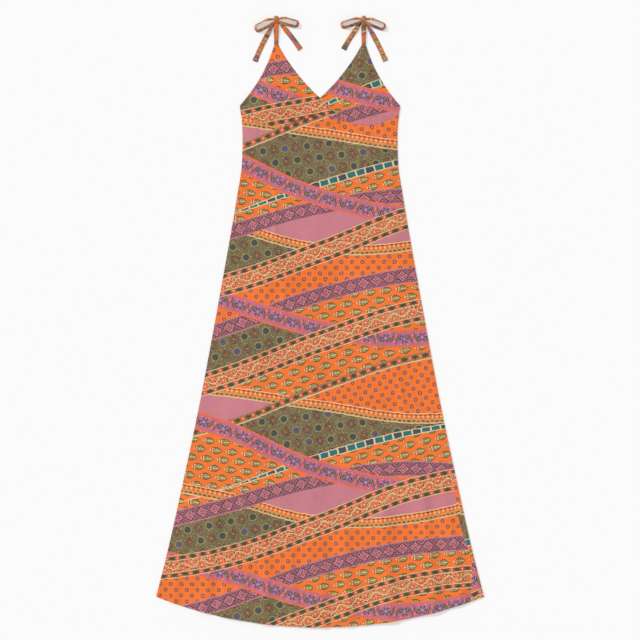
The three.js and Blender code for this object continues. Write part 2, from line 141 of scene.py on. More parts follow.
def through(xs, ys):
    """A smooth line through the places of a table, as a function of arrays."""
    xs = np.array(xs, float)
    ys = np.array(ys, float)
    slopes = np.empty_like(xs)
    slopes[1:-1] = (ys[2:] - ys[:-2]) / (xs[2:] - xs[:-2])
    slopes[0] = (ys[1] - ys[0]) / (xs[1] - xs[0])
    slopes[-1] = (ys[-1] - ys[-2]) / (xs[-1] - xs[-2])

    def line(value):
        value = np.clip(value, xs[0], xs[-1])
        i = np.clip(np.searchsorted(xs, value, side="right") - 1, 0, len(xs) - 2)
        span = xs[i + 1] - xs[i]
        t = (value - xs[i]) / span
        return (
            (2 * t**3 - 3 * t**2 + 1) * ys[i]
            + (t**3 - 2 * t**2 + t) * span * slopes[i]
            + (3 * t**2 - 2 * t**3) * ys[i + 1]
            + (t**3 - t**2) * span * slopes[i + 1]
        )

    return line


half_width = through(SIDE_SEAM["up"], SIDE_SEAM["half"])
seam_out = through(UNDERBUST_SEAM["out"], UNDERBUST_SEAM["up"])
HEM_RADIUS = (HEM_HALF_WIDTH**2 + HEM_CORNER_UP**2) / (2 * HEM_CORNER_UP)
SEAM_HALF_WIDTH = float(half_width(UNDERBUST_SEAM["up"][-1]))
SEAM_END_UP = float(seam_out(SEAM_HALF_WIDTH))
BACK_EDGE_HALF_WIDTH = float(half_width(BACK_EDGE_UP))
# Each cup runs on past the middle by this much at the bust seam. Sewn pieces lie the second number apart.
CROSSING = 56.2
SEAM_GAP = 0.3


def seam_up(x):
    return seam_out(np.abs(x))


def hem_up(x):
    return HEM_RADIUS - np.sqrt(HEM_RADIUS**2 - x * x)


def back_edge_up(x):
    return BACK_EDGE_UP - BACK_SCOOP * (1 - (x / BACK_EDGE_HALF_WIDTH) ** 2)


def smooth(start, end, value):
    """A soft step from 0 to 1 as a value goes from one mark to another."""
    t = np.clip((value - start) / (end - start), 0, 1)
    return t * t * (3 - 2 * t)


def bell(value):
    return np.exp(-value * value)


def places(x, up):
    return np.stack(np.broadcast_arrays(np.asarray(x, float), np.asarray(up, float)), -1)


def straight(a, b):
    return lambda t: places(a[0] + (b[0] - a[0]) * t, a[1] + (b[1] - a[1]) * t)


def bowed(a, control, b):
    """A line between two places that is drawn towards a third."""
    a, control, b = (np.array(p, float) for p in (a, control, b))
    return lambda t: (
        a * ((1 - t) ** 2)[:, None] + control * (2 * t * (1 - t))[:, None] + b * (t**2)[:, None]
    )


def along_two(first, second, corner):
    """One line after the other, which meet at the share called corner."""

    def line(t):
        before = first(np.clip(t / corner, 0, 1))
        after = second(np.clip((t - corner) / (1 - corner), 0, 1))
        return np.where((t <= corner)[:, None], before, after)

    return line


def side_line(side, low, high):
    def line(t):
        up = low + (high - low) * t
        return places(side * half_width(up), up)

    return line


def patch(bottom, top, left, right):
    """The surface inside four edges, on a grid of shares across and along."""

    def surface(across, along):
        u = across[None, :, None]
        v = along[:, None, None]
        ends = [edge(np.array([0.0, 1.0])) for edge in (bottom, top)]
        corner = (
            (1 - u) * (1 - v) * ends[0][0]
            + u * (1 - v) * ends[0][1]
            + (1 - u) * v * ends[1][0]
            + u * v * ends[1][1]
        )
        level = (1 - v) * bottom(across)[None] + v * top(across)[None]
        upright = (1 - u) * left(along)[:, None] + u * right(along)[:, None]
        return level + upright - corner

    return surface


def steps(count, *marks):
    """Even shares from 0 to 1 with extra ones at the marks, for edges and turnings."""
    return np.unique(np.concatenate([np.linspace(0, 1, count + 1), np.clip(marks, 0, 1)]).round(6))


def edge_distances(x, up):
    """How far each grid place is from the panel's four edges, measured along the grid."""

    def run(axis):
        pace = np.hypot(np.diff(x, axis=axis), np.diff(up, axis=axis))
        before = np.insert(np.cumsum(pace, axis=axis), 0, 0, axis=axis)
        return before, before.max(axis=axis, keepdims=True) - before

    left, right = run(1)
    bottom, top = run(0)
    return SimpleNamespace(x=x, up=up, left=left, right=right, bottom=bottom, top=top)


def grid_quads(columns, rows):
    i, j = np.meshgrid(np.arange(columns - 1), np.arange(rows - 1))
    corner = j * columns + i
    return np.stack([corner, corner + 1, corner + columns + 1, corner + columns], -1).reshape(-1, 4)


def border_of(columns, rows):
    """The grid's border as indices, anticlockwise from the lower left corner."""
    grid = np.arange(columns * rows).reshape(rows, columns)
    return np.concatenate([grid[0, :-1], grid[:-1, -1], grid[-1, :0:-1], grid[:0:-1, 0]])


# Folds sharper than this are shaded as edges.
SHARP_FOLD = math.radians(50)


def new_mesh(name, points, groups):
    """A mesh of quads. A group has its material's place, its quads and their corners in both maps."""
    quads = np.concatenate([group["quads"] for group in groups])
    mesh = bpy.data.meshes.new(name)
    mesh.from_pydata((points * MM).tolist(), [], quads.tolist())
    for map_name in ("Cut", "OFBake"):
        corners = np.concatenate([group[map_name] for group in groups]).ravel()
        mesh.uv_layers.new(name=map_name).data.foreach_set("uv", corners.astype(np.float32))
    mesh.uv_layers["Cut"].active_render = True
    kinds = np.concatenate([np.full(len(group["quads"]), group["material"]) for group in groups])
    mesh.polygons.foreach_set("material_index", kinds.astype(np.int32))
    mesh.polygons.foreach_set("use_smooth", np.ones(len(quads), bool))
    mesh.update()
    mesh.set_sharp_from_angle(angle=SHARP_FOLD)
    return mesh


def new_object(name, mesh, materials, node=None):
    """Puts a finished mesh in the scene, to ride on the dress's one body and to stand for its solid."""
    for material in materials:
        mesh.materials.append(material)
    piece = bpy.data.objects.new(name, mesh)
    bpy.context.scene.collection.objects.link(piece)
    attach(piece, "root")
    if node:
        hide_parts(node)
    return piece


# How far a wall's edge is rounded out, as a share of its thickness.
EDGE_BULGE = 0.3
# In the bake map both faces fill most of its height or half of its width, inside a margin. The lower face
# lies beside the upper one, and each rim just outside its face.
MAP_FILL = 0.94
MAP_MARGIN = (0.015, 0.03)
LOWER_FACE_SHIFT = 0.5
RIM_SHIFT = 0.004


def cloth_wall(name, surface, across, along, underside, thickness, upper_first=True):
    """A panel of cloth as a thin closed wall, with its edges rounded over."""
    flat = surface(across, along)
    place = edge_distances(flat[..., 0], flat[..., 1])
    low = underside(place)
    high = low + thickness(place)
    columns, rows = len(across), len(along)
    level = np.stack([place.x, place.up - DRESS_LENGTH / 2], -1).reshape(-1, 2)
    upper = np.column_stack([level, high.ravel()])
    lower = np.column_stack([level, low.ravel()])
    count = columns * rows
    border = border_of(columns, rows)
    after = np.roll(border, -1)
    way = level[after] - level[np.roll(border, 1)]
    outward = np.stack([way[:, 1], -way[:, 0]], -1)
    outward /= np.linalg.norm(outward, axis=1, keepdims=True)
    middle = (upper[border] + lower[border]) / 2
    middle[:, :2] += outward * EDGE_BULGE * (upper[border, 2] - lower[border, 2])[:, None]

    lengths = np.array([np.ptp(place.x), np.ptp(place.up)])
    fit = (level - level.min(0)) * MAP_FILL / max(lengths[0] * 2, lengths[1]) + MAP_MARGIN
    cut = np.stack([place.x, place.up], -1).reshape(-1, 2) * MM
    index = np.arange(len(border))
    following = np.roll(index, -1)
    rim_corners = np.stack([index, following, following, index], -1)

    def group(material, quads, inner, shift, outer=()):
        """Faces and their maps, read at inner places. A rim's outer corners lie just outside."""
        baked = fit[inner] + (shift, 0)
        for corner in outer:
            baked[:, corner] += outward[rim_corners[:, corner]] * RIM_SHIFT
        maps = {"Cut": cut[inner].reshape(-1, 2), "OFBake": baked.reshape(-1, 2)}
        return {"material": material, "quads": quads, **maps}

    top = grid_quads(columns, rows)
    under = top[:, ::-1]
    ring = 2 * count + index
    next_ring = 2 * count + following
    upper_rim = np.stack([ring, next_ring, after, border], -1)
    lower_rim = np.stack([count + border, count + after, next_ring, ring], -1)
    right, wrong = (0, 1) if upper_first else (1, 0)
    groups = [
        group(right, top, top, 0),
        group(wrong, under + count, under, LOWER_FACE_SHIFT),
        group(0, upper_rim, border[rim_corners], 0, outer=(0, 1)),
        group(0, lower_rim, border[rim_corners], LOWER_FACE_SHIFT, outer=(2, 3)),
    ]
    x, y = level[border].T
    return SimpleNamespace(
        mesh=new_mesh(name, np.concatenate([upper, lower, middle]), groups),
        place=place,
        top=upper.reshape(rows, columns, 3),
        area=abs(np.sum(x * np.roll(y, -1) - np.roll(x, -1) * y) / 2) * MM * MM,
        lengths=lengths * MM,
    )


def feed(tree, node, inputs):
    """Links wires to a node's inputs, which are named or numbered, or sets them to plain values."""
    named = inputs if isinstance(inputs, dict) else dict(enumerate(inputs))
    for place, value in named.items():
        socket = node.inputs[place]
        if isinstance(value, Wire):
            tree.links.new(value.socket, socket)
        else:
            socket.default_value = (*value, 1.0) if socket.type == "RGBA" else value


class Wire:
    """A value inside a node tree, so that a pattern can be written as sums."""

    def __init__(self, tree, socket):
        self.tree = tree
        self.socket = socket

    def node(self, kind, inputs=(), output=0, **settings):
        """One output of a new node with these settings and inputs."""
        made = self.tree.nodes.new(kind)
        for name, value in settings.items():
            setattr(made, name, value)
        feed(self.tree, made, inputs)
        return Wire(self.tree, made.outputs[output])

    def beside(self, output):
        """Another output of the same node."""
        return Wire(self.tree, self.socket.node.outputs[output])

    def math(self, operation, *values):
        return self.node("ShaderNodeMath", (self, *values), operation=operation)

    def __rsub__(self, other):
        return self.node("ShaderNodeMath", (other, self), operation="SUBTRACT")


# What each sign or word between wires works out.
WIRE_SUMS = {
    "__add__": "ADD",
    "__radd__": "ADD",
    "__sub__": "SUBTRACT",
    "__mul__": "MULTIPLY",
    "__rmul__": "MULTIPLY",
    "__truediv__": "DIVIDE",
    "__abs__": "ABSOLUTE",
    "__lt__": "LESS_THAN",
    "__gt__": "GREATER_THAN",
    "__and__": "MULTIPLY",
    "__or__": "MAXIMUM",
    "floor": "FLOOR",
    "fract": "FRACT",
    "sine": "SINE",
    "cosine": "COSINE",
    "root": "SQRT",
}
for word, work in WIRE_SUMS.items():
    setattr(Wire, word, partialmethod(Wire.math, work))


def radius(x, y):
    return (x * x + y * y).root()


def petals(x, y, count, size, depth, turn=0.0):
    """How far inside a flower with so many petals a place is."""
    angle = y.math("ARCTAN2", x) * float(count) + turn
    return size + angle.cosine() * depth - radius(x, y)


def leaf(x, y, length, width):
    """How far inside a pointed leaf along x a place is."""
    share = x / length
    return (1.0 - share * share) * width - abs(y)


def turned(x, y, degrees):
    a = math.radians(degrees)
    return x * math.cos(a) + y * math.sin(a), y * math.cos(a) - x * math.sin(a)


def cells(x, y, wide, high):
    """A place counted from the middle of its cell, in rows that are offset by half a cell, and the cell."""
    row = (y / high).floor()
    shifted = x / wide + row * 0.5
    return (shifted.fract() - 0.5) * wide, ((y / high).fract() - 0.5) * high, shifted.floor() + row * 3.0


def folded(along, pitch):
    """How far a place is from the middle of its own length of a repeat."""
    return abs((along / pitch).fract() - 0.5) * pitch


def paint(mask, over, under):
    """Colour over where the mask is 1 and colour under elsewhere."""
    return mask.node("ShaderNodeMix", {"Factor": mask, 6: under, 7: over}, output=2, data_type="RGBA")


def choose(mask, over, under):
    """The number over where the mask is 1 and the number under elsewhere."""
    return mask.node("ShaderNodeMix", {"Factor": mask, 2: under, 3: over}, output=0, data_type="FLOAT")


def layered(ground, *layers):
    """The ground with layers laid on it in turn, each a mask and the colour where the mask is 1."""
    for mask, colour in layers:
        ground = paint(mask, colour, ground)
    return ground


# The print repeats up the cloth after this height, and its lines are drawn across this width of it.
PRINT_REPEAT = 640.0
PRINT_WIDTH = 960.0
# Curves hold heights above the floor as shares of the scale, and half heights as shares of the last.
LINE_SCALE = 1000.0
LINE_FLOOR = -150.0
WIDTH_SCALE = 100.0

# Each line of the print has its name, the strip that follows it, half that strip's height, and its own
# heights at five even stations across the cloth. Where a half height is a row of five, the strip swells
# and runs out.
PRINT_LINES = (
    ("low vine", "vine", 26, (-120, -60, 30, 105, 120)),
    ("low lattice", "lattice", 18, (0, 56, 140, 190, 196)),
    ("low flowers", "flowers", 21, (180, 130, 60, 40, 110)),
    ("mid vine", "vine", 26, (130, 160, 240, 330, 360)),
    ("mid edging", "edging", 12, (350, 310, 250, 260, 330)),
    ("mid lattice", "lattice", 18, (220, 280, 345, 372, 330)),
    ("tiles", "tiles", (0, 2, 8, 7, 0), (250, 320, 400, 462, 490)),
    ("high flowers", "flowers", 21, (530, 470, 370, 330, 390)),
    ("high edging", "edging", 12, (570, 555, 520, 490, 520)),
    ("high blocks", "blocks", 9, (430, 470, 560, 636, 655)),
)

# A field lies between two lines, where the second is above the first. Its rows rise by the last number.
PRINT_FIELDS = (
    ("sprigs", "high blocks", "low vine", 0.2),
    ("rosettes", "low vine", "low lattice", 0.26),
    ("sprigs", "low flowers", "low lattice", 0.12),
    ("rosettes", "mid vine", "mid lattice", 0.2),
    ("plain", "mid edging", "mid lattice", 0.0),
    ("sprigs", "mid lattice", "high flowers", -0.1),
    ("rosettes", "high flowers", "high blocks", 0.12),
    ("rings", "high edging", "high blocks", 0.2),
    ("sprigs", "high flowers", "tiles", 0.24),
    ("plain", "high blocks", "high edging", 0.0),
)
# Strips are laid over each other in this order.
STRIP_ORDER = ("tiles", "edging", "blocks", "lattice", "flowers", "vine")
KINDS = ("rings", "sprigs", "rosettes", "plain", *STRIP_ORDER)


def station_curve(share, values, scale, floor=0.0):
    """A smooth line through values at even stations, read at a share across the cloth."""
    made = share.node("ShaderNodeFloatCurve", {"Value": share})
    mapping = made.socket.node.mapping
    line = mapping.curves[0]
    last = len(values) - 1
    for i, value in enumerate(values):
        spot = (i / last, (value - floor) / scale)
        if i in (0, last):
            line.points[-1 if i else 0].location = spot
        else:
            line.points.new(*spot)
    mapping.update()
    return made * scale + floor


def wrapped(value):
    """The same height within half a repeat of nothing."""
    return value.math("WRAP", PRINT_REPEAT / 2, -PRINT_REPEAT / 2)


def band_at(x, up):
    """Which field or strip a place is in, and how far along, across and inside it lies."""
    share = x / PRINT_WIDTH + 0.5
    lines = {
        name: station_curve(share, heights, LINE_SCALE, LINE_FLOOR) for name, _, _, heights in PRINT_LINES
    }
    deep_inside = 99.0
    state = [0.0, up, deep_inside, 0.0]

    def lay(kind, mask, across, inside, slope):
        values = (float(KINDS.index(kind)), across, inside, slope)
        state[:] = [choose(mask, new, old) for new, old in zip(values, state)]

    for kind, lower, upper, slope in PRINT_FIELDS:
        above = wrapped(up - lines[lower])
        below = wrapped(lines[upper] - lines[lower]) - above
        lay(kind, (above > 0.0) & (below > 0.0), up - x * slope, above.math("MINIMUM", below), slope)
    step = 0.02
    ahead = share + step
    for name, kind, half, heights in sorted(PRINT_LINES, key=lambda row: STRIP_ORDER.index(row[1])):
        away = wrapped(up - lines[name])
        width = station_curve(share, half, WIDTH_SCALE) if isinstance(half, tuple) else half
        next_up = station_curve(ahead, heights, LINE_SCALE, LINE_FLOOR)
        slope = (next_up - lines[name]) / (step * PRINT_WIDTH)
        stretch = (slope * slope + 1.0).root()
        depth = width - abs(away) / stretch
        lay(kind, depth > 0.0, away, depth, slope)
    kind, across, inside, slope = state
    stretch = (slope * slope + 1.0).root()
    return SimpleNamespace(
        kind=kind,
        along=x * stretch + across * slope / stretch,
        across=across / stretch,
        inside=inside,
    )


def ring_ground(band, dyes):
    """Bright ground with small rings and a dot between neighbours."""
    wide = 25.0
    cx, cy, _ = cells(band.along, band.across, wide, 13.5)
    flower = petals(cx, cy, 6, 4.5, 0.4)
    return layered(
        dyes.orange,
        (radius(abs(cx) - wide / 2, cy) < 1.3, dyes.coral),
        (flower > 0.0, dyes.moss),
        (flower > 2.0, dyes.mauve),
    )


def sprig_ground(band, dyes):
    """Bright ground with leaves that stand on three berries."""
    wide = 38.0
    cx, cy, _ = cells(band.along, band.across, wide, 21.0)
    mirrored = abs(cy)
    blade = leaf(cx - 1.5, cy, 12.8, 7.4)
    side_berry = radius(cx + 7.6, mirrored - 4.0)
    return layered(
        dyes.orange,
        (radius(abs(cx) - wide / 2, cy) < 1.6, dyes.umber),
        ((blade > -1.0) | (side_berry < 3.0), dyes.moss),
        (blade > 1.3, dyes.leaf),
        ((blade > 2.2) & ((cx - mirrored).sine() > 0.35), dyes.moss),
        ((blade > 2.0) & (mirrored < 0.9), dyes.cream),
        ((blade > 2.6) & (radius(cx + 4.0, cy) < 2.7), dyes.coral),
        ((side_berry < 1.7) | (radius(cx + 12.4, cy) < 1.7), dyes.cream),
    )


def dot_ring(ring, angle, out, count):
    """1 in dots that stand in a ring this far out."""
    return (abs(ring - out) < 1.5) & ((angle * count).cosine() > 0.0)


def rosette_ground(band, dyes):
    """Dark ground with round rosettes, clusters of dots between them and fine specks."""
    x, y = band.along, band.across
    wide = 52.0
    cx, cy, cell = cells(x, y, wide, 30.0)
    dx = abs(cx) - wide / 2
    ring = radius(dx, cy)
    angle = cy.math("ARCTAN2", dx)
    rim = petals(cx, cy, 14, 9.4, 0.35)
    core = petals(cx, cy, 5, 2.8, 0.8)
    return layered(
        dyes.olive,
        (speckle(x, y, 0.1, 0.12, 4.4), dyes.leaf),
        (speckle(x, y, 0.13, 0.15), dyes.plum),
        (dot_ring(ring, angle, 4.6, 6.0) | dot_ring(ring, angle, 8.8, 11.0), dyes.plum),
        (ring < 2.0, dyes.coral),
        (rim > 0.0, dyes.leaf),
        (rim > 1.2, dyes.olive),
        (rim > 2.2, dyes.moss),
        (rim > 3.2, paint((cell * 0.37).fract() > 0.35, dyes.slate, dyes.indigo)),
        ((core > 0.0) & (core < 1.3), dyes.moss),
    )


def speckle(x, y, scale, spread, start=0.0):
    """1 in small dots that are scattered over the cloth."""
    spot = x.node("ShaderNodeCombineXYZ", (x * scale + start, y * scale, 0.0))
    inputs = {"Vector": spot, "Scale": 1.0}
    return x.node("ShaderNodeTexVoronoi", inputs, output="Distance", voronoi_dimensions="2D") < spread


def block_row(along, off, dyes):
    """A row of dark blocks and small blossoms. It runs where off is nothing."""
    pitch = 24.0
    block = folded(along, pitch)
    beside = pitch / 2 - block
    return layered(
        dyes.umber,
        (radius(abs(beside) - 6.2, abs(off) - 2.1) < 1.7, dyes.moss),
        (petals(beside, off, 5, 4.9, 1.0) > 0.0, dyes.coral),
        (radius(beside, off) < 1.5, dyes.cream),
        (petals(block, off, 4, 4.9, 0.6) > 0.0, dyes.moss),
    )


def vine_strip(band, dyes):
    """A strip with rows of blocks and blossoms at its edges and a curling vine along its middle."""
    along, across, edge = band.along, band.across, band.inside
    wave_length = 42.0
    wave = (along * (math.tau / wave_length)).sine() * 6.0
    curl = radius(folded(along, wave_length / 2), across + wave * 0.9)
    middle = layered(
        dyes.tan,
        (speckle(along, across, 0.22, 0.44), dyes.coral),
        (speckle(along, across, 0.18, 0.27, 7.3), dyes.moss),
        (speckle(along, across, 0.2, 0.2, 3.9), dyes.cream),
        (abs(across - wave) < 1.0, dyes.cream),
        (abs(curl - 4.4) < 1.3, dyes.coral),
        (curl < 1.8, dyes.cream),
    )
    return layered(
        block_row(along, edge - 6.4, dyes),
        (edge > 12.4, middle),
        ((abs(edge - 0.6) < 0.8) | (abs(edge - 12.2) < 0.7), dyes.cream),
    )


def block_strip(band, dyes):
    """A narrow strip with one row of blocks and blossoms, and a line along it."""
    return paint(band.across < -6.8, dyes.cream, block_row(band.along, band.across - 1.0, dyes))


def lattice_strip(band, dyes):
    """A strip of large diamonds with a small one in each and hooked bows between them."""
    pitch = 30.0
    p = folded(band.along, pitch)
    q = abs(band.across)
    diamond = p * 0.95 + q
    bow = radius(p - pitch / 2, q - 16.5)
    lines = (abs(diamond - 14.0) < 1.0) | (abs(diamond - 6.6) < 0.6) | (diamond < 2.0)
    lines = lines | (abs(bow - 6.4) < 0.8) | (bow < 2.2) | (abs(bow - 11.2) < 0.6)
    return layered(
        dyes.rosewood,
        (diamond < 14.0, dyes.mauve),
        (speckle(band.along, band.across, 0.22, 0.22), dyes.plum),
        (lines, dyes.plum),
        (band.inside < 2.4, dyes.mauve),
    )


def flower_strip(band, dyes):
    """A strip of blue and coral flowers with leaves between them and an orange edge."""
    wide = 44.0
    number = (band.along / wide).floor()
    x = ((band.along / wide).fract() - 0.5) * wide
    y = band.across * ((number * 0.5).fract() * 4.0 - 1.0)
    lx, ly = turned(abs(x) - 12.5, y + 3.0, 62)
    blade = leaf(lx, ly, 9.5, 3.6)
    coral = petals(abs(x) - wide / 2, y + 7.0, 5, 5.0, 1.5, 1.1)
    second = petals(abs(x) - wide / 2, y - 6.5, 6, 5.4, 2.2)
    blue = petals(x, y - 1.0, 6, 8.6, 3.4, 0.6)
    small = radius(abs(x) - 8.5, y - 13.0)
    return layered(
        dyes.lilac,
        (speckle(band.along, band.across, 0.2, 0.24), dyes.coral),
        (blade > 0.0, dyes.moss),
        ((blade > 1.0) & (abs(ly) < 0.7), dyes.leaf),
        (coral > 0.0, dyes.coral),
        (coral > 3.6, dyes.cream),
        (second > 0.0, dyes.indigo),
        ((second > 1.6) & (second < 2.6), dyes.slate),
        (second > 4.6, dyes.coral),
        (blue > 0.0, dyes.indigo),
        ((blue > 2.2) & (blue < 3.6), dyes.slate),
        (blue > 6.6, dyes.coral),
        (blue > 8.0, dyes.cream),
        (small < 2.6, dyes.coral),
        (small < 1.1, dyes.cream),
        (band.inside < 3.4, paint((band.along / 4.5).fract() < 0.4, dyes.coral, dyes.orange)),
    )


def tile_strip(band, dyes):
    """A narrow strip of tiles with pale joints."""
    run = band.along / 22.0
    tile = (abs(run.fract() - 0.5) < 0.42) & (band.inside > 1.9)
    return paint(tile, paint((run.floor() * 0.37).fract() > 0.6, dyes.slate, dyes.teal), dyes.cream)


def edging_strip(band, dyes):
    """A narrow strip of small points over a dotted line."""
    pitch = 11.0
    point = folded(band.along, pitch)
    across = band.across
    return layered(
        dyes.tan,
        (across > point * 1.4 - 4.0, dyes.orange),
        (radius(point, across - 1.6) < 1.9, dyes.coral),
        (radius(point - pitch / 2, across - 3.6) < 2.1, dyes.cream),
        ((abs(across - 8.0) < 1.3) & (point < 3.4), dyes.moss),
        ((abs(across + 6.6) < 1.5) & (point > 2.2), dyes.moss),
        (band.inside < 1.8, dyes.cream),
    )


# How far in metres the printed lines tremble.
TREMBLE = 0.003


def print_group(dyes):
    """The patchwork print, from places on the flat cloth in metres to a colour."""
    tree = bpy.data.node_groups.new("Patchwork print", "ShaderNodeTree")
    tree.interface.new_socket("Cut", in_out="INPUT", socket_type="NodeSocketVector")
    tree.interface.new_socket("Color", in_out="OUTPUT", socket_type="NodeSocketColor")
    entry = Wire(tree, tree.nodes.new("NodeGroupInput").outputs[0])
    inputs = {"Vector": entry, "Scale": 90.0, "Detail": 1.0}
    wander = entry.node("ShaderNodeTexNoise", inputs, output="Color", noise_dimensions="2D")
    shaken = (wander, (TREMBLE,) * 3, (-TREMBLE / 2,) * 3)
    shaken = entry.node("ShaderNodeVectorMath", shaken, operation="MULTIPLY_ADD")
    drawn = entry.node("ShaderNodeVectorMath", (entry, shaken), operation="ADD")
    drawn = entry.node("ShaderNodeVectorMath", (drawn, (1 / MM,) * 3), operation="MULTIPLY")
    x = entry.node("ShaderNodeSeparateXYZ", (drawn,), output="X")
    band = band_at(x, x.beside("Y"))

    def where(kind):
        return band.kind.math("COMPARE", float(KINDS.index(kind)), 0.4)

    colour = layered(
        ring_ground(band, dyes),
        (where("sprigs"), sprig_ground(band, dyes)),
        # Piping round the rings and the sprigs, which are the first two kinds.
        ((band.inside < 1.5) & (band.kind < 1.5), dyes.cream),
        (where("rosettes"), rosette_ground(band, dyes)),
        (where("plain"), dyes.mauve),
        (where("vine"), vine_strip(band, dyes)),
        (where("lattice"), lattice_strip(band, dyes)),
        (where("flowers"), flower_strip(band, dyes)),
        (where("tiles"), tile_strip(band, dyes)),
        (where("blocks"), block_strip(band, dyes)),
        (where("edging"), edging_strip(band, dyes)),
    )
    feed(tree, tree.nodes.new("NodeGroupOutput"), {"Color": colour})
    return tree


def new_material(name):
    """A new material with its tree and its shader."""
    material = bpy.data.materials.new(name)
    material.use_nodes = True
    return material, material.node_tree, material.node_tree.nodes["Principled BSDF"]


def noise(vector, scale, detail, stretch=None):
    """Soft random grey over the cloth, drawn out along one thread direction if a stretch is given."""
    if stretch:
        vector = vector.node("ShaderNodeVectorMath", (vector, stretch), operation="MULTIPLY")
    inputs = {"Vector": vector, "Scale": scale, "Detail": detail}
    return vector.node("ShaderNodeTexNoise", inputs, output="Fac")


def bump(height, strength, depth):
    """A height as a bump this many millimetres deep."""
    inputs = {"Height": height, "Strength": strength, "Distance": depth * MM}
    return height.node("ShaderNodeBump", inputs, output="Normal")


# Where the next panel's print lies from the front's own, at the rolled side seam.
ROLLED_JUMP = (-0.25, 0.23, 0.0)


def printed_cloth(name, print_tree, shift=(0.0, 0.0), turn=0.0, faded=0.0, toward=(214, 186, 160)):
    """Woven cloth with the print, shifted and turned as the piece was cut, and faded to another tone.

    Where the mesh's Rolled attribute is above nothing, the print is that of the piece next to it.
    """
    material, tree, shader = new_material(name)
    uv = tree.nodes.new("ShaderNodeUVMap")
    uv.uv_map = "Cut"
    cut = Wire(tree, uv.outputs["UV"])
    rolled = cut.node("ShaderNodeAttribute", output="Fac", attribute_name="Rolled")
    jump = cut.node("ShaderNodeVectorMath", {0: ROLLED_JUMP, "Scale": rolled > 0.0}, operation="SCALE")
    joined = cut.node("ShaderNodeVectorMath", (cut, jump), operation="ADD")
    turned_by = (0.0, 0.0, math.radians(turn))
    inputs = {"Vector": joined, "Location": (*shift, 0.0), "Rotation": turned_by}
    colour = cut.node("ShaderNodeGroup", (cut.node("ShaderNodeMapping", inputs),), node_tree=print_tree)

    slub = noise(cut, 260.0, 2.0, (1.0, 0.16, 1.0))
    light = noise(cut, 7.0, 2.0) * 0.22 + slub * 0.16 + 0.82
    lit = cut.node("ShaderNodeHueSaturation", {"Value": light, "Color": colour})
    if faded:
        lit = paint(noise(cut, 40.0, 1.0) * 0.1 + faded, ink(*toward), lit)
    looks = {
        "Base Color": lit,
        "Roughness": 0.82,
        "Specular IOR Level": 0.25,
        "Sheen Weight": 0.12,
        "Sheen Roughness": 0.5,
        "Normal": weave_normal(cut, slub),
    }
    feed(tree, shader, looks)
    return material


def weave_normal(cut, slub):
    """Fine crossing threads with thicker ones here and there, as a bump."""
    pitch = 0.8 * MM
    x = cut.node("ShaderNodeSeparateXYZ", (cut,), output="X")
    warp = (x * (math.tau / pitch)).sine()
    weft = (x.beside("Y") * (math.tau / pitch)).sine()
    return bump(warp * weft * 0.25 + slub + noise(cut, 55.0, 3.0) * 1.6, 0.35, 0.4)


def thread_material(dyes):
    """Twisted sewing thread."""
    material, tree, shader = new_material("Thread")
    place = Wire(tree, tree.nodes.new("ShaderNodeTexCoord").outputs["Object"])
    twist = noise(place, 1800.0, 1.0)
    colour = place.node("ShaderNodeHueSaturation", {"Value": twist * 0.5 + 0.75, "Color": dyes.thread})
    feed(tree, shader, {"Base Color": colour, "Roughness": 0.55, "Normal": bump(twist, 0.4, 0.05)})
    return material


def named_dyes():
    """The dyes as plain tuples, under their own names."""
    group = bpy.context.scene.dress_dyes
    return SimpleNamespace(**{name: tuple(getattr(group, name)) for name in DressDyes.__annotations__})


def cloth(name, **cut):
    """The printed cloth of that name, made once."""
    made = bpy.data.materials.get(name)
    if made:
        return made
    tree = bpy.data.node_groups.get("Patchwork print") or print_group(named_dyes())
    return printed_cloth(name, tree, **cut)


# Soft flutes of the skirt, as in the solids: share of the half width, height of the top, rise, spread
# and drift.
FLUTES = (
    (-0.79, 640, 3.4, 52, 10),
    (-0.53, 1090, 5.2, 46, -6),
    (-0.31, 880, 4.0, 40, 12),
    (-0.06, 1010, 4.6, 48, -8),
    (0.19, 760, 3.6, 42, 6),
    (0.43, 1060, 5.4, 46, 10),
    (0.69, 930, 4.4, 44, -12),
    (0.87, 480, 2.6, 36, 4),
)

# Creases laid in one by one: from one place to another, across and up, with the rise of the ridge and its
# spread.
SKIRT_CREASES = (
    (-106, 1052, -104, 860, 2.2, 6),
    (-82, 838, -87, 716, 1.8, 6),
    (184, 598, 197, 486, 2.3, 7),
    (120, 508, 129, 424, 2.1, 6),
    (-186, 1168, -92, 1078, 2.2, 10),
    (186, 1160, 100, 1086, 2.1, 9),
    (-172, 1072, -116, 968, 1.8, 10),
    (176, 1060, 124, 926, 2.2, 10),
    (20, 1164, 36, 1000, 1.5, 7),
    (-52, 1172, -42, 1046, 1.6, 6),
    (96, 1168, 90, 1044, 1.7, 7),
    (-204, 900, -140, 820, 1.7, 10),
    (206, 872, 150, 800, 1.6, 10),
    (150, 712, 204, 630, 1.6, 10),
    (-204, 712, -146, 628, 1.7, 10),
    (8, 652, -24, 500, 1.8, 11),
    (-140, 572, -122, 424, 2.1, 11),
    (-300, -150, -214, 440, 3.3, 14),
    (-238, -60, -202, 352, 2.6, 10),
    (-356, -40, -318, 270, 2.5, 10),
    (-126, -170, -132, 330, 3.2, 13),
    (-58, -60, -76, 310, 2.8, 11),
    (12, -150, 4, 250, 2.3, 10),
    (70, -80, 54, 290, 3.0, 12),
    (172, -140, 144, 350, 3.1, 14),
    (284, -90, 226, 420, 3.3, 14),
    (346, 10, 296, 300, 2.6, 11),
    (-22, 470, -46, 356, 1.7, 9),
    (234, 470, 250, 352, 1.8, 10),
)

# The side seam of the back, which is rolled to the front near the hem: its heights and how far in it lies.
ROLLED_SEAM = {"up": (40, 71.5, 110, 165, 230, 290, 350, 380), "in": (34, 30, 17, 7, 14, 12, 3, -6)}

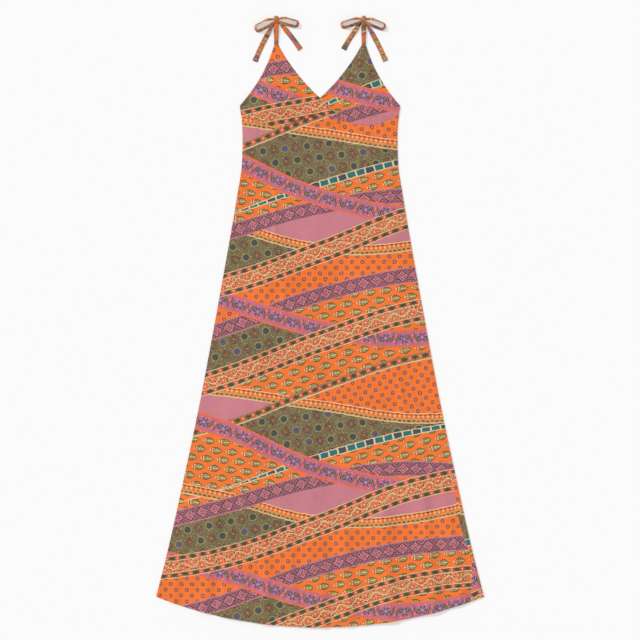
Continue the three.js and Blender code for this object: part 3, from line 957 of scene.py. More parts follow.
# Small puckers that fan down from the seam under the bust: across, length, rise and spread.
SEAM_PUCKERS = (
    (-168, 34, 1.1, 5),
    (-150, 52, 1.4, 5),
    (-133, 40, 1.3, 4),
    (-118, 66, 1.6, 5),
    (-101, 48, 1.4, 5),
    (-86, 60, 1.3, 4),
    (-66, 36, 1.1, 5),
    (-38, 44, 1.0, 5),
    (-12, 30, 1.0, 6),
    (17, 38, 1.0, 5),
    (43, 46, 1.1, 5),
    (69, 40, 1.3, 5),
    (84, 62, 1.4, 4),
    (99, 44, 1.3, 5),
    (115, 58, 1.6, 5),
    (131, 42, 1.3, 4),
    (147, 56, 1.4, 5),
    (166, 36, 1.1, 5),
)

# Long shallow waves of cloth at rest: height, length of the wave, direction in degrees and start.
STILL_WAVES = (
    (0.55, 136, 8, 0.4),
    (0.40, 89, 31, 1.9),
    (0.32, 61, -24, 4.1),
    (0.22, 47, 78, 2.6),
    (0.10, 29, 12, 5.2),
    (0.08, 23, 105, 0.9),
)
# The front and the cups lie this high, on the back.
ON_BACK = 1.5


def flute_rise(place):
    """The rise of the long soft flutes, which drift and run out up the skirt."""
    half = half_width(np.maximum(place.up, HEM_CORNER_UP))
    edge = smooth(1, 0.86, np.abs(place.x) / half)
    rise = np.zeros_like(place.x)
    for at, top, height, spread, lean in FLUTES:
        climb = np.clip(place.up / top, 0, 1)
        middle = at * half + lean * np.sin(climb * math.pi)
        rise += height * (1 - climb * climb) * bell((place.x - middle) / (spread * (1 - 0.5 * climb)))
    return rise * edge


def crease_rise(place, creases):
    """The rise of listed creases, each a ridge with a shallow valley beside it."""
    rise = np.zeros_like(place.x)
    for x0, up0, x1, up1, height, spread in creases:
        way = np.array([x1 - x0, up1 - up0], float)
        long = np.hypot(*way)
        way /= long
        dx, dy = place.x - x0, place.up - up0
        t = (dx * way[0] + dy * way[1]) / long
        off = dx * way[1] - dy * way[0]
        fade = np.where((t > 0) & (t < 1), np.sin(np.clip(t, 0, 1) * math.pi), 0)
        rise += height * fade * (bell(off / spread) - 0.45 * bell((off - 1.9 * spread) / spread))
    return rise


def pucker_rise(place, below):
    """Puckers that leave the bust seam downwards, or upwards into the cups."""
    rise = np.zeros_like(place.x)
    away = np.clip(seam_up(place.x) - place.up if below else place.up - seam_up(place.x), 0, None)
    for out, long, height, spread in SEAM_PUCKERS:
        drift = out * (1 + (0.0006 if below else -0.0009) * away)
        rise += height * bell((place.x - drift) / (spread * (1 + away / 60))) * bell(away / long)
    return rise


def still_rise(place):
    """The slow waves of cloth at rest."""
    rise = np.zeros_like(place.x)
    for height, long, degrees, start in STILL_WAVES:
        a = math.radians(degrees)
        rise += height * np.sin((place.x * math.cos(a) + place.up * math.sin(a)) * math.tau / long + start)
    return rise


def no_lower(value, floor):
    """Keeps a height above a floor with a soft bend."""
    over = value - floor
    return floor + (over + np.sqrt(over * over + 0.16)) / 2


# Rows of sewing run this far out from the inner side of a turning, in millimetres.
SEWN_IN = 1.6


def turned_edge(distance, depth, rise):
    """Extra thickness of a turned edge, with the row of sewing pressed in near its inner side."""
    pressed = 0.22 * bell((distance - depth + SEWN_IN) / 0.9)
    return rise * smooth(depth + 1.2, depth - 0.6, distance) - pressed


def turning_marks(turning):
    """Places from the hem where its grid is finer, so that the turning and its sewing show."""
    return (1.0, turning - 2.6, turning - SEWN_IN, turning - 0.6, turning + 1.2)


def hem_line(t):
    x = (2 * t - 1) * HEM_HALF_WIDTH
    return places(x, hem_up(x))


def skirt_surface():
    def top(t):
        x = (2 * t - 1) * SEAM_HALF_WIDTH
        return places(x, seam_up(x) - SEAM_GAP / 2)

    sides = [side_line(side, HEM_CORNER_UP, SEAM_END_UP - SEAM_GAP / 2) for side in (-1, 1)]
    return patch(hem_line, top, *sides)


# What counts as far inside the rolled side seam.
FAR_INSIDE = -50.0


def rolled_depth(place):
    """How far beyond the rolled side seam a place on the skirt lies, below nothing inside it."""
    seam = through(ROLLED_SEAM["up"], ROLLED_SEAM["in"])
    depth = seam(place.up) - (half_width(np.maximum(place.up, HEM_CORNER_UP)) - place.x)
    return np.where(place.up < ROLLED_SEAM["up"][-1], depth, FAR_INSIDE)


class DRESS_OT_front_skirt(bpy.types.Operator):
    """Makes the front from the bust seam to the hem, with its flutes, creases and turned hem"""

    bl_idname = "dress.front_skirt"
    bl_label = "Front skirt"

    def execute(self, context):
        sizes = context.scene.dress_sizes
        cloth_mm = sizes.cloth / MM
        turning = sizes.turning / MM
        rise = sizes.turning_rise / MM
        long = SEAM_END_UP - HEM_CORNER_UP
        hem_marks = [m / long for m in (3.0, 6.0, *turning_marks(turning))]
        seam_marks = [1 - m / long for m in (0.6, 1.6, 3.2, 6.0)]

        def underside(place):
            lift = flute_rise(place) + crease_rise(place, SKIRT_CREASES) + still_rise(place)
            lift += pucker_rise(place, below=True)
            # The sewing of the hem draws the cloth into a fine ripple.
            lift += 0.35 * np.sin(place.x / 5.1 + 1.3 * np.sin(place.x / 37)) * smooth(20, 8, place.bottom)
            settled = smooth(0, 30, np.minimum(place.left, place.right))
            lift = no_lower((lift + 0.5) * settled, 0.0) + 0.5 * smooth(-3, 1, rolled_depth(place))
            return ON_BACK + rise * smooth(60, turning, place.bottom) + lift

        def thickness(place):
            side = np.minimum(place.left, place.right)
            rolled = 0.4 * smooth(5, 0, side) + 0.35 * smooth(3, 0, place.top)
            rolled += 0.35 * bell(rolled_depth(place) / 1.3)
            return cloth_mm - rolled + turned_edge(place.bottom, turning, rise)

        made = cloth_wall(
            "front_skirt_cloth",
            skirt_surface(),
            steps(150, 0.002, 0.005, *(1 - np.arange(1, 26) * 0.0018)),
            steps(215, *hem_marks, *seam_marks),
            underside,
            thickness,
        )
        rolled = np.full(len(made.mesh.vertices), FAR_INSIDE, np.float32)
        depth = rolled_depth(made.place).ravel()
        rolled[: len(depth)] = depth
        made.mesh.attributes.new("Rolled", "FLOAT", "POINT").data.foreach_set("value", rolled)
        piece = new_object(
            "front_skirt_cloth",
            made.mesh,
            [cloth("Skirt print"), cloth("Skirt wrong side", faded=0.5)],
            node="front_skirt",
        )
        SEWN["front_skirt"] = made
        return {"FINISHED"}


# The finished panels, kept for the sewing that follows their edges.
SEWN = {}


def inside_line(place, start, end):
    """How far places lie inside the straight line between two others, in plan."""
    way = np.subtract(end, start).astype(float)
    way /= np.hypot(*way)
    return way[0] * (place[1] - start[1]) - way[1] * (place[0] - start[0])


def cup_surface(side):
    lift = SEAM_GAP / 2
    # The share of each side that lies below its corner, the underarm or the point of the V.
    corner = 0.25

    def at(out, up):
        return (side * out, up)

    underarm = at(half_width(UNDERARM_UP), UNDERARM_UP)
    arm_tip = at(STRAP_OUT + CUP_POINT_WIDTH / 2, CUP_POINT_UP)
    neck_tip = at(STRAP_OUT - CUP_POINT_WIDTH / 2, CUP_POINT_UP)
    crossed = at(-CROSSING, seam_up(CROSSING) + lift)
    neck = at(0, NECK_POINT_UP)
    outer = along_two(
        side_line(side, SEAM_END_UP + lift, UNDERARM_UP),
        bowed(underarm, at(*ARMHOLE_HOLLOW), arm_tip),
        corner,
    )
    inner = along_two(straight(crossed, neck), bowed(neck, at(*NECKLINE_HOLLOW), neck_tip), corner)

    def seam(t):
        out = SEAM_HALF_WIDTH - (SEAM_HALF_WIDTH + CROSSING) * t
        return places(side * out, seam_up(out) + lift)

    tip = straight(arm_tip, neck_tip)
    if side < 0:
        return patch(bottom=seam, top=tip, left=outer, right=inner)
    return patch(bottom=lambda t: seam(1 - t), top=lambda t: tip(1 - t), left=inner, right=outer)


def cup_fullness(out, up):
    """1 inside a cup, running out towards its neckline, armhole and seam."""
    v_point = (0, NECK_POINT_UP)
    tip = (STRAP_OUT, CUP_POINT_UP)
    underarm = (float(half_width(UNDERARM_UP)), UNDERARM_UP)
    neck = smooth(10, 44, -inside_line((out, up), v_point, tip))
    arm = smooth(10, 44, -inside_line((out, up), tip, underarm))
    return neck * arm * smooth(10, 44, up - seam_up(out))


def cup_layers(place, side):
    """The height of what lies below a cup: the back, a back strap and, for the left cup, the right one."""
    out = np.abs(place.x)
    over_back = ON_BACK * smooth(60, 22, place.up - BACK_EDGE_UP)
    beside = np.abs(out - STRAP_OUT)
    over_strap = TIE_LAYER * smooth(26, 7.5, beside) * smooth(-30, -8, place.up - BACK_EDGE_UP)
    height = np.maximum(over_back, over_strap)
    if side < 0:
        other_edge = (-CROSSING, float(seam_up(CROSSING)))
        over_other = inside_line((place.x, place.up), (0, NECK_POINT_UP), other_edge)
        height = height + ON_BACK * smooth(-20, -2.5, over_other)
    return height


# Creases of the cups, for the left one and in mirror image for the right, as in SKIRT_CREASES.
CUP_CREASES = (
    (-178, 1212, -118, 1240, 1.5, 8),
    (-176, 1198, -108, 1206, 1.3, 7),
    (-152, 1272, -132, 1216, 1.2, 8),
    (-110, 1352, -120, 1262, 1.1, 6),
    (-92, 1340, -74, 1256, 1.1, 7),
    (-44, 1262, -92, 1222, 1.3, 8),
    (-24, 1236, -78, 1208, 1.3, 7),
    (8, 1214, -44, 1200, 1.0, 6),
)


class DRESS_OT_cups(bpy.types.Operator):
    """Makes the two bust cups, which cross below the V of the neck"""

    bl_idname = "dress.cups"
    bl_label = "Bust cups"

    def execute(self, context):
        sizes = context.scene.dress_sizes
        cloth_mm = sizes.cloth / MM
        turning = sizes.edge_turning / MM
        marks = [m / 240 for m in (1.0, 2.5, 4.4, 5.4, 6.4, 8.0)]
        grid = steps(62, *marks, *(1 - m for m in marks)), steps(64, 0.004, 0.009, 0.018, 0.03)
        for side, name, shift, angle in ((-1, "left", (0.27, 0.13), 9), (1, "right", (-0.21, 0.42), -4)):
            creases = [(-side * x0, up0, -side * x1, up1, *rest) for x0, up0, x1, up1, *rest in CUP_CREASES]

            def underside(place, side=side, creases=creases):
                out = np.abs(place.x)
                bust = 5 * bell(np.hypot(out - 108, place.up - 1232) / 62) * cup_fullness(out, place.up)
                soft = pucker_rise(place, below=False) + crease_rise(place, creases)
                soft += still_rise(place) * 0.6 + 0.3
                free = np.minimum(np.minimum(place.left, place.right), place.bottom)
                return cup_layers(place, side) + bust + no_lower(soft * smooth(0, 16, free), 0.0)

            def thickness(place, side=side):
                arm, neck = (place.left, place.right) if side < 0 else (place.right, place.left)
                above = smooth(UNDERARM_UP - 4, UNDERARM_UP + 4, place.up)
                turned_arm = turned_edge(arm, turning, 0.45) * above
                turned_edges = np.maximum(turned_arm, turned_edge(neck, turning, 0.45))
                return cloth_mm + turned_edges - 0.35 * smooth(3, 0, place.bottom)

            made = cloth_wall(f"cup_{name}_cloth", cup_surface(side), *grid, underside, thickness)
            looks = {"shift": shift, "turn": angle}
            wrong_side = cloth(f"Cup wrong side {name}", **looks, faded=0.5)
            materials = [cloth(f"Cup print {name}", **looks), wrong_side]
            piece = new_object(f"cup_{name}_cloth", made.mesh, materials, node=f"front_cup_{name}")
            SEWN[f"front_cup_{name}"] = made
        return {"FINISHED"}


class DRESS_OT_back_panel(bpy.types.Operator):
    """Makes the back, which lies face down on the surface"""

    bl_idname = "dress.back_panel"
    bl_label = "Back"

    def execute(self, context):
        sizes = context.scene.dress_sizes
        cloth_mm = sizes.cloth / MM
        turning = sizes.turning / MM
        long = BACK_EDGE_UP - HEM_CORNER_UP
        hem_marks = [m / long for m in turning_marks(turning)]
        edge_marks = [1 - m / long for m in (1.0, 4.4, 5.4, 6.4)]

        def top(t):
            x = (2 * t - 1) * BACK_EDGE_HALF_WIDTH
            return places(x, back_edge_up(x))

        def thickness(place):
            return cloth_mm + turned_edge(place.bottom, turning, sizes.turning_rise / MM) - 0.1

        made = cloth_wall(
            "back_panel_cloth",
            patch(hem_line, top, *(side_line(side, HEM_CORNER_UP, BACK_EDGE_UP) for side in (-1, 1))),
            steps(90, 0.003, 0.997),
            steps(120, *hem_marks, *edge_marks),
            lambda place: np.zeros_like(place.x),
            thickness,
            upper_first=False,
        )
        looks = {"shift": (0.16, 0.31)}
        materials = [cloth("Back print", **looks), cloth("Back wrong side", **looks, faded=0.5)]
        piece = new_object("back_panel_cloth", made.mesh, materials, node="back_panel")
        return {"FINISHED"}


KNOT = {"wide": 12.5, "long": 17.0, "high": 10.0}
# The folds of a knot's band: where each lies across it, its slant, depth and spread.
KNOT_FOLDS = (
    (-0.62, 0.16, 0.20, 0.09),
    (-0.2, 0.3, 0.30, 0.1),
    (0.3, 0.36, 0.24, 0.08),
    (0.68, 0.2, 0.16, 0.08),
)
# Ties lie on each other in layers this thick.
TIE_LAYER = 1.9
# A tie is drawn in to this share of its width at the knot. Loops are wider at their root by the second
# number, and stand on their edges by so many degrees.
ROOT_WIDTH = 0.45
LOOP_FULLNESS = 1.6
LOOP_STAND = 66.0
# The ties are cut from duller parts of the cloth.
TIE_DYEING = {"faded": 0.38, "toward": (142, 108, 70)}
# Loops, tails and straps run into the knot until this share of its half width.
KNOT_BITE = 0.72
# The front strap's foot is sewn in this far below the cup's tip, and is this wide.
FOOT_SEWN_IN = 3.0
FOOT_WIDTH = 8.5
# A back strap starts this far above the back's edge, and is narrower than the tie by the second number.
BACK_FOOT_RISE = 2.5
BACK_STRAP_LESS = 2

# The bows, as in the solids. A loop has its reach, width and droop, and a tail its end beside and below
# the knot.
BOWS = (
    {
        "name": "left",
        "side": -1,
        "loops": {"outer": (53, 16, 25), "inner": (52, 14.5, 12)},
        "tails": {"outer": (50, 98), "inner": (57, 70)},
    },
    {
        "name": "right",
        "side": 1,
        "loops": {"outer": (52, 15, 20), "inner": (53.5, 14, 15)},
        "tails": {"outer": (51.5, 97), "inner": (47.5, 70)},
    },
)

# A tie's section has this many corners.
TIE_SIDES = 14


def squared(wave, power):
    """A sine or cosine that is drawn to its ends, so that a round section grows squarer."""
    return np.sign(wave) * np.abs(wave) ** power


def tube_quads(rings, sides):
    """The quads of a tube, and each corner's place along and round it, in rings and sides."""
    i, k = np.meshgrid(np.arange(rings - 1), np.arange(sides), indexing="ij")
    here = i * sides + k
    beside = i * sides + (k + 1) % sides
    corners = ([here, here + sides, beside + sides, beside], [i, i + 1, i + 1, i], [k, k, k + 1, k + 1])
    return [np.stack(row, -1).reshape(-1, 4) for row in corners]


def tie_sweep(name, middles, widths, thicks, stands, shift):
    """A pressed tube of cloth swept along its middle line, with rounded folds at both edges."""
    stations = len(middles)
    way = np.gradient(middles, axis=0)
    way[:, 2] = 0
    way /= np.linalg.norm(way, axis=1, keepdims=True)
    level = np.stack([-way[:, 1], way[:, 0], np.zeros(stations)], -1)
    stand = np.radians(stands)[:, None]
    across = level * np.cos(stand) + np.array([0, 0, 1.0]) * np.sin(stand)
    through_it = np.cross(way, across)
    angle = np.arange(TIE_SIDES) / TIE_SIDES * math.tau
    # A squared-off oval, so that the faces lie flat and the folds are round.
    flat = squared(np.cos(angle), 0.55)[None, :, None]
    high = squared(np.sin(angle), 0.55)[None, :, None]
    rings = middles[:, None] + across[:, None] * (flat * widths[:, None, None] / 2)
    rings = rings + through_it[:, None] * (high * thicks[:, None, None] / 2)
    points = np.concatenate([rings.reshape(-1, 3), middles[:1], middles[-1:]])
    pace = np.insert(np.cumsum(np.linalg.norm(np.diff(middles, axis=0), axis=1)), 0, 0)
    quads, along, around = (table[:, ::-1] for table in tube_quads(stations, TIE_SIDES))
    turn = around / TIE_SIDES
    girth = 2 * float(np.mean(widths)) + 2
    cut = np.stack([turn * girth + shift[0], pace[along] + shift[1]], -1).reshape(-1, 2) * MM
    bake = np.stack([pace[along] / pace[-1] * 0.96 + 0.02, turn * 0.9 + 0.02], -1).reshape(-1, 2)
    groups = [{"material": 0, "quads": quads, "Cut": cut, "OFBake": bake}]
    # Both ends are closed by fans of slim quads round the middle point.
    pairs = np.arange(0, TIE_SIDES, 2)
    for station, centre, order in ((0, len(points) - 2, -1), (stations - 1, len(points) - 1, 1)):
        ring = station * TIE_SIDES
        corners = (ring + pairs, ring + pairs + 1, ring + (pairs + 2) % TIE_SIDES, pairs * 0 + centre)
        fan = np.stack(corners, -1)[:, ::order]
        end_cut = np.tile(np.array([shift[0], pace[station] + shift[1]]) * MM, (fan.size, 1))
        end_map = np.tile([[0.1, 0.95], [0.12, 0.95], [0.12, 0.97], [0.1, 0.97]], (len(fan), 1))
        groups.append({"material": 0, "quads": fan, "Cut": end_cut, "OFBake": end_map})
    mesh = new_mesh(name, points, groups)
    top = middles + through_it * thicks[:, None] / 2
    return SimpleNamespace(mesh=mesh, top=top, across=across, width=widths, length=pace[-1] * MM)


def knot_reach(way):
    unit = np.array(way, float) / np.hypot(*way)
    return 1 / math.hypot(unit[0] / (KNOT["wide"] / 2), unit[1] / (KNOT["long"] / 2)) + SEAM_GAP


def knot_middle(side):
    return np.array([side * STRAP_OUT, KNOT_UP - DRESS_LENGTH / 2])


def loop_path(side, facing, reach, width, droop, tie):
    """A loop's stations, from the knot above the straps, round its far end and back below."""
    turn = math.radians(droop)
    outward = np.array([facing * math.cos(turn), -math.sin(turn)])
    upward = np.array([facing * math.sin(turn), math.cos(turn)])
    lower_root = outward * reach - upward * width * LOOP_FULLNESS
    start = knot_reach(lower_root) / (math.pi * np.hypot(*lower_root))
    t = np.linspace(start * KNOT_BITE, 1 - start * KNOT_BITE, 90)
    near = np.minimum(t, 1 - t)
    swing = np.sin(math.tau * t)
    across = width / 2 * swing * (LOOP_FULLNESS - (LOOP_FULLNESS - 1) * swing * swing)
    plan = knot_middle(side) + outward * (reach * np.sin(math.pi * t))[:, None] + upward * across[:, None]
    stand = LOOP_STAND * smooth(0.04, 0.2, near)
    widths = tie.wide * (ROOT_WIDTH + (1 - ROOT_WIDTH) * smooth(start, 0.22, near))
    thicks = tie.thick * (1 + 0.5 * smooth(0.1, start, near))
    half_high = (widths * np.sin(np.radians(stand)) + tie.thick * np.cos(np.radians(stand))) / 2
    rest = 3 * TIE_LAYER * smooth(0.3, 0.08, near)
    middles = np.column_stack([plan, rest + half_high])
    return middles, widths, thicks, stand if facing < 0 else -stand


def tail_path(side, facing, beside, below, tie):
    """A tail's stations, from the knot over the back strap and down on the surface, to its folded end."""
    way = np.array([facing * beside, -below], float)
    long = np.hypot(*way)
    start = knot_reach(way) / long
    t = np.linspace(start * KNOT_BITE, 1, 64)
    plan = knot_middle(side) + way * t[:, None]
    plan[:, 0] += facing * 3 * np.sin(t * math.pi)
    drop = smooth(26, 52, t * long)
    fold = smooth(long - 11.5, long - 10.5, t * long)
    widths = tie.wide * (ROOT_WIDTH + (1 - ROOT_WIDTH) * smooth(start, 0.4, t)) + 0.9 * fold
    thicks = tie.thick + 0.5 * fold
    middles = np.column_stack([plan, TIE_LAYER * (1 - drop) + thicks / 2])
    return middles, widths, thicks, np.zeros(len(t))


def strap_path(side, foot_up, underside, widths, tie):
    """A strap's stations, straight up from its foot to the knot."""
    t = np.linspace(0, 1, 40)
    foot = foot_up - DRESS_LENGTH / 2
    head = KNOT_UP - DRESS_LENGTH / 2 - KNOT["long"] / 2 * KNOT_BITE
    ups = foot + (head - foot) * t
    middles = np.column_stack([np.full(len(t), side * STRAP_OUT), ups, underside(t) + tie.thick / 2])
    return middles, widths(t), np.full(len(t), tie.thick), np.zeros(len(t))


def knot_mesh(name, side):
    """A pulled knot: a band drawn round the ties, with slanting folds that run together at its ends."""
    around, along = 56, 40
    turn = np.arange(around) / around * math.tau
    p, a = np.meshgrid(np.arange(along + 1) / along * math.pi, turn, indexing="ij")
    # A squared-off barrel, narrower at its middle than beside it.
    girth = np.sin(p) ** 0.62 * (1 - 0.1 * bell(np.cos(p) / 0.34))
    x = squared(np.cos(a), 0.8) * girth
    y = np.cos(p)
    z = squared(np.sin(a), 0.8) * girth
    across = x / np.maximum(girth, 0.2)
    for at, slant, deep, spread in KNOT_FOLDS:
        z = z * (1 - deep * bell((across - at - slant * side * y) / spread))
    low = -0.72
    z = np.maximum(z, low)
    x = side * STRAP_OUT + x / np.abs(x).max() * KNOT["wide"] / 2 * 0.96
    y = KNOT_UP - DRESS_LENGTH / 2 + y * KNOT["long"] / 2
    z = (z - low) / (z.max() - low) * KNOT["high"]
    quads, rings, sides = tube_quads(along + 1, around)
    shares = np.stack([sides / around, rings / along], -1).reshape(-1, 2)
    maps = {"Cut": shares * (0.034, 0.02) + (0.11, 0.07), "OFBake": shares * 0.96 + 0.02}
    points = np.stack([x, y, z], -1).reshape(-1, 3)
    return merged(new_mesh(name, points, [{"material": 0, "quads": quads, **maps}]))


def merged(mesh):
    """Closes the poles of a mesh whose end rings are single points."""
    work = bmesh.new()
    work.from_mesh(mesh)
    bmesh.ops.remove_doubles(work, verts=work.verts, dist=0.02 * MM)
    bmesh.ops.recalc_face_normals(work, faces=work.faces)
    work.to_mesh(mesh)
    work.free()
    return mesh


class DRESS_OT_ties(bpy.types.Operator):
    """Makes the straps, and the knot, loops and tails of each bow"""

    bl_idname = "dress.ties"
    bl_label = "Shoulder ties"

    def execute(self, context):
        sizes = context.scene.dress_sizes
        tie = SimpleNamespace(wide=sizes.tie_width / MM, thick=sizes.tie_thickness / MM)
        tie_cloth = cloth("Tie print", **TIE_DYEING)
        turn = 0
        for bow in BOWS:
            side, name = bow["side"], bow["name"]
            paths = {
                f"strap_back_{name}": strap_path(
                    side,
                    back_edge_up(STRAP_OUT) + BACK_FOOT_RISE,
                    lambda t: t * 0,
                    lambda t: t * 0 + tie.wide - BACK_STRAP_LESS,
                    tie,
                ),
                f"strap_front_{name}": strap_path(
                    side,
                    CUP_POINT_UP - FOOT_SEWN_IN,
                    lambda t: TIE_LAYER * (1 + smooth(0.35, 0.8, t)),
                    lambda t: FOOT_WIDTH + (tie.wide - FOOT_WIDTH) * smooth(0, 0.7, t),
                    tie,
                ),
            }
            for place in ("outer", "inner"):
                facing = side if place == "outer" else -side
                paths[f"bow_loop_{name}_{place}"] = loop_path(side, facing, *bow["loops"][place], tie)
                paths[f"bow_tail_{name}_{place}"] = tail_path(side, facing, *bow["tails"][place], tie)
            for node, path in paths.items():
                turn += 1
                made = tie_sweep(f"{node}_cloth", *path, shift=(-300 + 131 * turn % 700, 67 * turn))
                piece = new_object(f"{node}_cloth", made.mesh, [tie_cloth], node=node)
                SEWN[node] = made
            knot = knot_mesh(f"knot_{name}_cloth", side)
            new_object(f"knot_{name}_cloth", knot, [tie_cloth], node=f"knot_{name}")
        return {"FINISHED"}


def inset_line(made, edge, inset):
    """A line on a panel's upper face, so far in from one of its edges."""
    grid = made.top.transpose(1, 0, 2) if edge == "bottom" else made.top
    if edge == "right":
        grid = grid[:, ::-1]
    points = []
    for strip in grid:
        run = np.insert(np.cumsum(np.linalg.norm(np.diff(strip, axis=0), axis=1)), 0, 0)
        if run[-1] > inset * 2:
            points.append([np.interp(inset, run, strip[:, axis]) for axis in range(3)])
    return np.array(points)


def stitch_sizes(sizes):
    """The sizes of a row of stitches, under the names of its tree's inputs."""
    return {
        "Pitch": sizes.stitch_pitch,
        "Stitch length": sizes.stitch_length,
        "Thread": sizes.thread,
        "Seed": sizes.seed,
    }


def stitch_tree(sizes, material):
    """Geometry nodes that lay even stitches, slightly varied, along the lines of a mesh."""
    tree = bpy.data.node_groups.new("Stitch row", "GeometryNodeTree")
    interface = tree.interface
    for way in ("INPUT", "OUTPUT"):
        interface.new_socket("Geometry", in_out=way, socket_type="NodeSocketGeometry")
    for name, default in stitch_sizes(sizes).items():
        kind = "NodeSocketInt" if name == "Seed" else "NodeSocketFloat"
        interface.new_socket(name, in_out="INPUT", socket_type=kind).default_value = default
    rows = Wire(tree, tree.nodes.new("NodeGroupInput").outputs["Geometry"])
    lines = rows.node("GeometryNodeMeshToCurve", {"Mesh": rows}, output="Curve")
    inputs = {"Curve": lines, "Length": rows.beside("Pitch")}
    points = rows.node("GeometryNodeCurveToPoints", inputs, output="Points", mode="LENGTH")

    ball = rows.node("GeometryNodeMeshUVSphere", {"Segments": 6, "Rings": 4, "Radius": 0.5}, output="Mesh")
    thick = rows.beside("Thread")
    shape = rows.node("ShaderNodeCombineXYZ", (thick, thick, rows.beside("Stitch length")))
    stitch = rows.node("GeometryNodeTransform", {"Geometry": ball, "Scale": shape}, output="Geometry")

    most = Vector((0.09, 0.09, 0.03))
    inputs = {"Min": -most, "Max": most, "Seed": rows.beside("Seed")}
    lean = rows.node("FunctionNodeRandomValue", inputs, output="Value", data_type="FLOAT_VECTOR")
    swayed = rows.node("ShaderNodeVectorMath", (points.beside("Tangent"), lean), operation="ADD")
    turn = rows.node("FunctionNodeAlignEulerToVector", {"Vector": swayed}, output="Rotation", axis="Z")
    inputs = {"Points": points, "Instance": stitch, "Rotation": turn}
    placed = rows.node("GeometryNodeInstanceOnPoints", inputs, output="Instances")
    real = rows.node("GeometryNodeRealizeInstances", {"Geometry": placed}, output="Geometry")
    inputs = {"Geometry": real, "Material": material}
    painted = rows.node("GeometryNodeSetMaterial", inputs, output="Geometry")
    feed(tree, tree.nodes.new("NodeGroupOutput"), {"Geometry": painted})
    return tree


# Stitches lie this far above the face that they are sewn through.
STITCH_LIFT = 0.06


def sew(name, lines, tree, sizes):
    """Rows of stitches along the lines, as one plain mesh."""
    points = np.concatenate(lines) + (0, 0, STITCH_LIFT)
    starts = np.cumsum([0, *(len(line) for line in lines)])
    edges = [(i, i + 1) for start, end in zip(starts[:-1], starts[1:]) for i in range(start, end - 1)]
    guide = bpy.data.meshes.new(f"{name}_guide")
    guide.from_pydata((points * MM).tolist(), edges, [])
    carrier = bpy.data.objects.new(f"{name}_guide", guide)
    bpy.context.scene.collection.objects.link(carrier)
    modifier = carrier.modifiers.new("Stitches", "NODES")
    modifier.node_group = tree
    # A modifier's value is set by its socket's identifier.
    given = stitch_sizes(sizes)
    for item in tree.interface.items_tree:
        if item.name in given:
            modifier[item.identifier] = given[item.name]
    graph = bpy.context.evaluated_depsgraph_get()
    mesh = bpy.data.meshes.new_from_object(carrier.evaluated_get(graph))
    mesh.name = name
    bpy.data.objects.remove(carrier)
    bpy.data.meshes.remove(guide)
    mesh.polygons.foreach_set("use_smooth", np.ones(len(mesh.polygons), bool))
    return new_object(name, mesh, [])


def tie_line(made, share):
    """A line along a tie, at a share of the way from its middle to one edge."""
    line = made.top + made.across * (made.width * share / 2)[:, None]
    return line[3:-3]


class DRESS_OT_sewing(bpy.types.Operator):
    """Sews the hem, the bust seam, the neckline, the armholes and the ties"""

    bl_idname = "dress.sewing"
    bl_label = "Sewing"

    def execute(self, context):
        sizes = context.scene.dress_sizes
        if "front_skirt" not in SEWN:
            raise RuntimeError("Make the panels before their sewing")
        tree = stitch_tree(sizes, thread_material(named_dyes()))
        hem = inset_line(SEWN["front_skirt"], "bottom", sizes.turning / MM - SEWN_IN)
        sew("hem_stitches", [hem], tree, sizes)
        seam, edges = [], []
        inset = sizes.edge_turning / MM - SEWN_IN
        # The left cup's neckline runs on below the V, on top of the right one's.
        for name, arm, neck, neck_from in (
            ("front_cup_left", "left", "right", 0),
            ("front_cup_right", "right", "left", NECK_POINT_UP),
        ):
            cup = SEWN[name]
            seam.append(inset_line(cup, "bottom", 2.2))
            for edge, low in ((arm, UNDERARM_UP), (neck, neck_from)):
                line = inset_line(cup, edge, inset)
                edges.append(line[line[:, 1] > low - DRESS_LENGTH / 2])
        # The right cup's seam stops where the left cup lies on it.
        seam[1] = seam[1][seam[1][:, 0] > CROSSING - 1]
        sew("bust_seam_stitches", seam, tree, sizes)
        sew("neckline_stitches", edges, tree, sizes)
        sewn_ties = [made for node, made in SEWN.items() if node.startswith(("strap_front", "bow_tail"))]
        sew("tie_stitches", [tie_line(made, 0.72) for made in sewn_ties], tree, sizes)
        return {"FINISHED"}


# The photo's frame shows this many metres from side to side, round a middle just above the dress's own.
FRAME_WIDTH = 1.504
FRAME_MIDDLE_Y = 0.0035
LENS = 85.0
SENSOR = 36.0
# How bright the surround is, and how bright it looks.
SURROUND = 0.465
SEEN_SURROUND = 0.96
# The share of the floor's brightness that comes from below it, as on a light table.
FLOOR_GLOW = 0.47


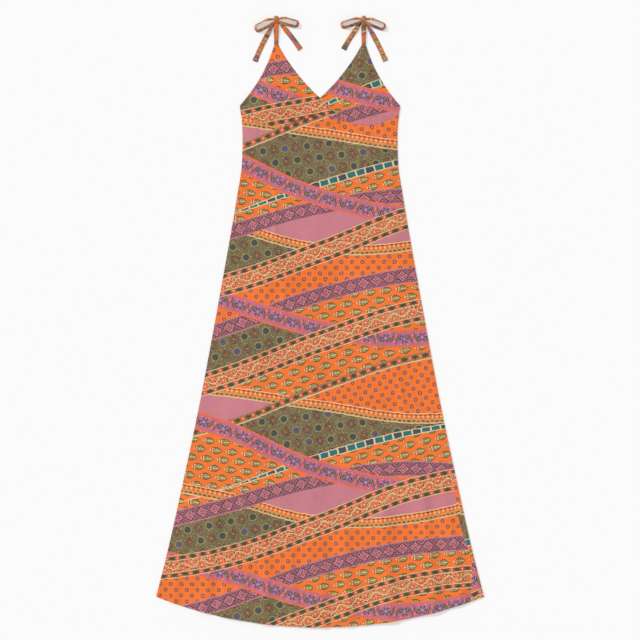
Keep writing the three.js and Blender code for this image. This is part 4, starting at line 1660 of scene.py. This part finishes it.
class DRESS_OT_stage(bpy.types.Operator):
    """Makes the plain floor, the soft lights and the camera that looks straight down"""

    bl_idname = "dress.stage"
    bl_label = "Studio"

    def execute(self, context):
        scene = context.scene
        mesh = bpy.data.meshes.new("Floor")
        reach = 40.0
        # The floor lies a little lower than the back, so that their faces don't meet.
        below = -0.3 * MM
        corners = [(x * reach, y * reach, below) for x, y in ((-1, -1), (1, -1), (1, 1), (-1, 1))]
        mesh.from_pydata(corners, [], [(0, 1, 2, 3)])
        floor = bpy.data.objects.new("Floor", mesh)
        scene.collection.objects.link(floor)
        mesh.materials.append(self.floor_material())

        for name, place, spread, strength in (
            ("Key light", (-2.3, 1.7, 2.4), 12.0, 2.25),
            ("Fill light", (2.0, -2.2, 2.6), 40.0, 0.4),
        ):
            lamp = bpy.data.lights.new(name, "SUN")
            lamp.angle = math.radians(spread)
            lamp.energy = strength
            light = bpy.data.objects.new(name, lamp)
            light.location = place
            light.rotation_euler = (-Vector(place)).to_track_quat("-Z", "Y").to_euler()
            scene.collection.objects.link(light)

        # The surround lights the dress softly, and looks as white as the floor where the floor ends.
        world = bpy.data.worlds.new("Studio")
        world.use_nodes = True
        tree = world.node_tree
        seen = Wire(tree, tree.nodes.new("ShaderNodeLightPath").outputs["Is Camera Ray"])
        bright = seen * (SEEN_SURROUND - SURROUND) + SURROUND
        feed(tree, tree.nodes["Background"], {"Color": (1.0, 1.0, 1.0), "Strength": bright})
        scene.world = world
        scene.view_settings.view_transform = "Standard"
        scene.view_settings.look = "None"

        lens = bpy.data.cameras.new("Camera")
        lens.lens = LENS
        lens.sensor_width = SENSOR
        camera = bpy.data.objects.new("Camera", lens)
        camera.location = (0.0, FRAME_MIDDLE_Y, FRAME_WIDTH * LENS / SENSOR)
        scene.collection.objects.link(camera)
        scene.camera = camera
        return {"FINISHED"}

    def floor_material(self):
        material, tree, shader = new_material("Floor")
        white = named_dyes().floor
        looks = {
            "Base Color": [value * (1 - FLOOR_GLOW) for value in white],
            "Emission Color": white,
            "Emission Strength": FLOOR_GLOW,
            "Roughness": 0.9,
            "Specular IOR Level": 0.1,
        }
        feed(tree, shader, looks)
        return material


PIECES = (
    DRESS_OT_back_panel,
    DRESS_OT_front_skirt,
    DRESS_OT_cups,
    DRESS_OT_ties,
    DRESS_OT_sewing,
    DRESS_OT_stage,
)


class DRESS_PT_sidebar(bpy.types.Panel):
    """Lists the dress's pieces, sizes and colours"""

    bl_label = "Maxi dress"
    bl_idname = "DRESS_PT_sidebar"
    bl_space_type = "VIEW_3D"
    bl_region_type = "UI"
    bl_category = "Dress"

    def draw(self, context):
        for piece in PIECES:
            self.layout.operator(piece.bl_idname)
        for group, names in (
            (context.scene.dress_sizes, DressSizes.__annotations__),
            (context.scene.dress_dyes, DressDyes.__annotations__),
        ):
            box = self.layout.box()
            for name in names:
                box.prop(group, name)


CLASSES = (DressSizes, DressDyes, *PIECES, DRESS_PT_sidebar)


def register():
    for made in CLASSES:
        bpy.utils.register_class(made)
    bpy.types.Scene.dress_sizes = PointerProperty(type=DressSizes)
    bpy.types.Scene.dress_dyes = PointerProperty(type=DressDyes)


def unregister():
    del bpy.types.Scene.dress_dyes
    del bpy.types.Scene.dress_sizes
    for made in reversed(CLASSES):
        bpy.utils.unregister_class(made)


def main():
    register()
    bpy.ops.dress.back_panel()
    bpy.ops.dress.front_skirt()
    bpy.ops.dress.cups()
    bpy.ops.dress.ties()
    bpy.ops.dress.sewing()
    bpy.ops.dress.stage()


if __name__ == "__main__":
    main()
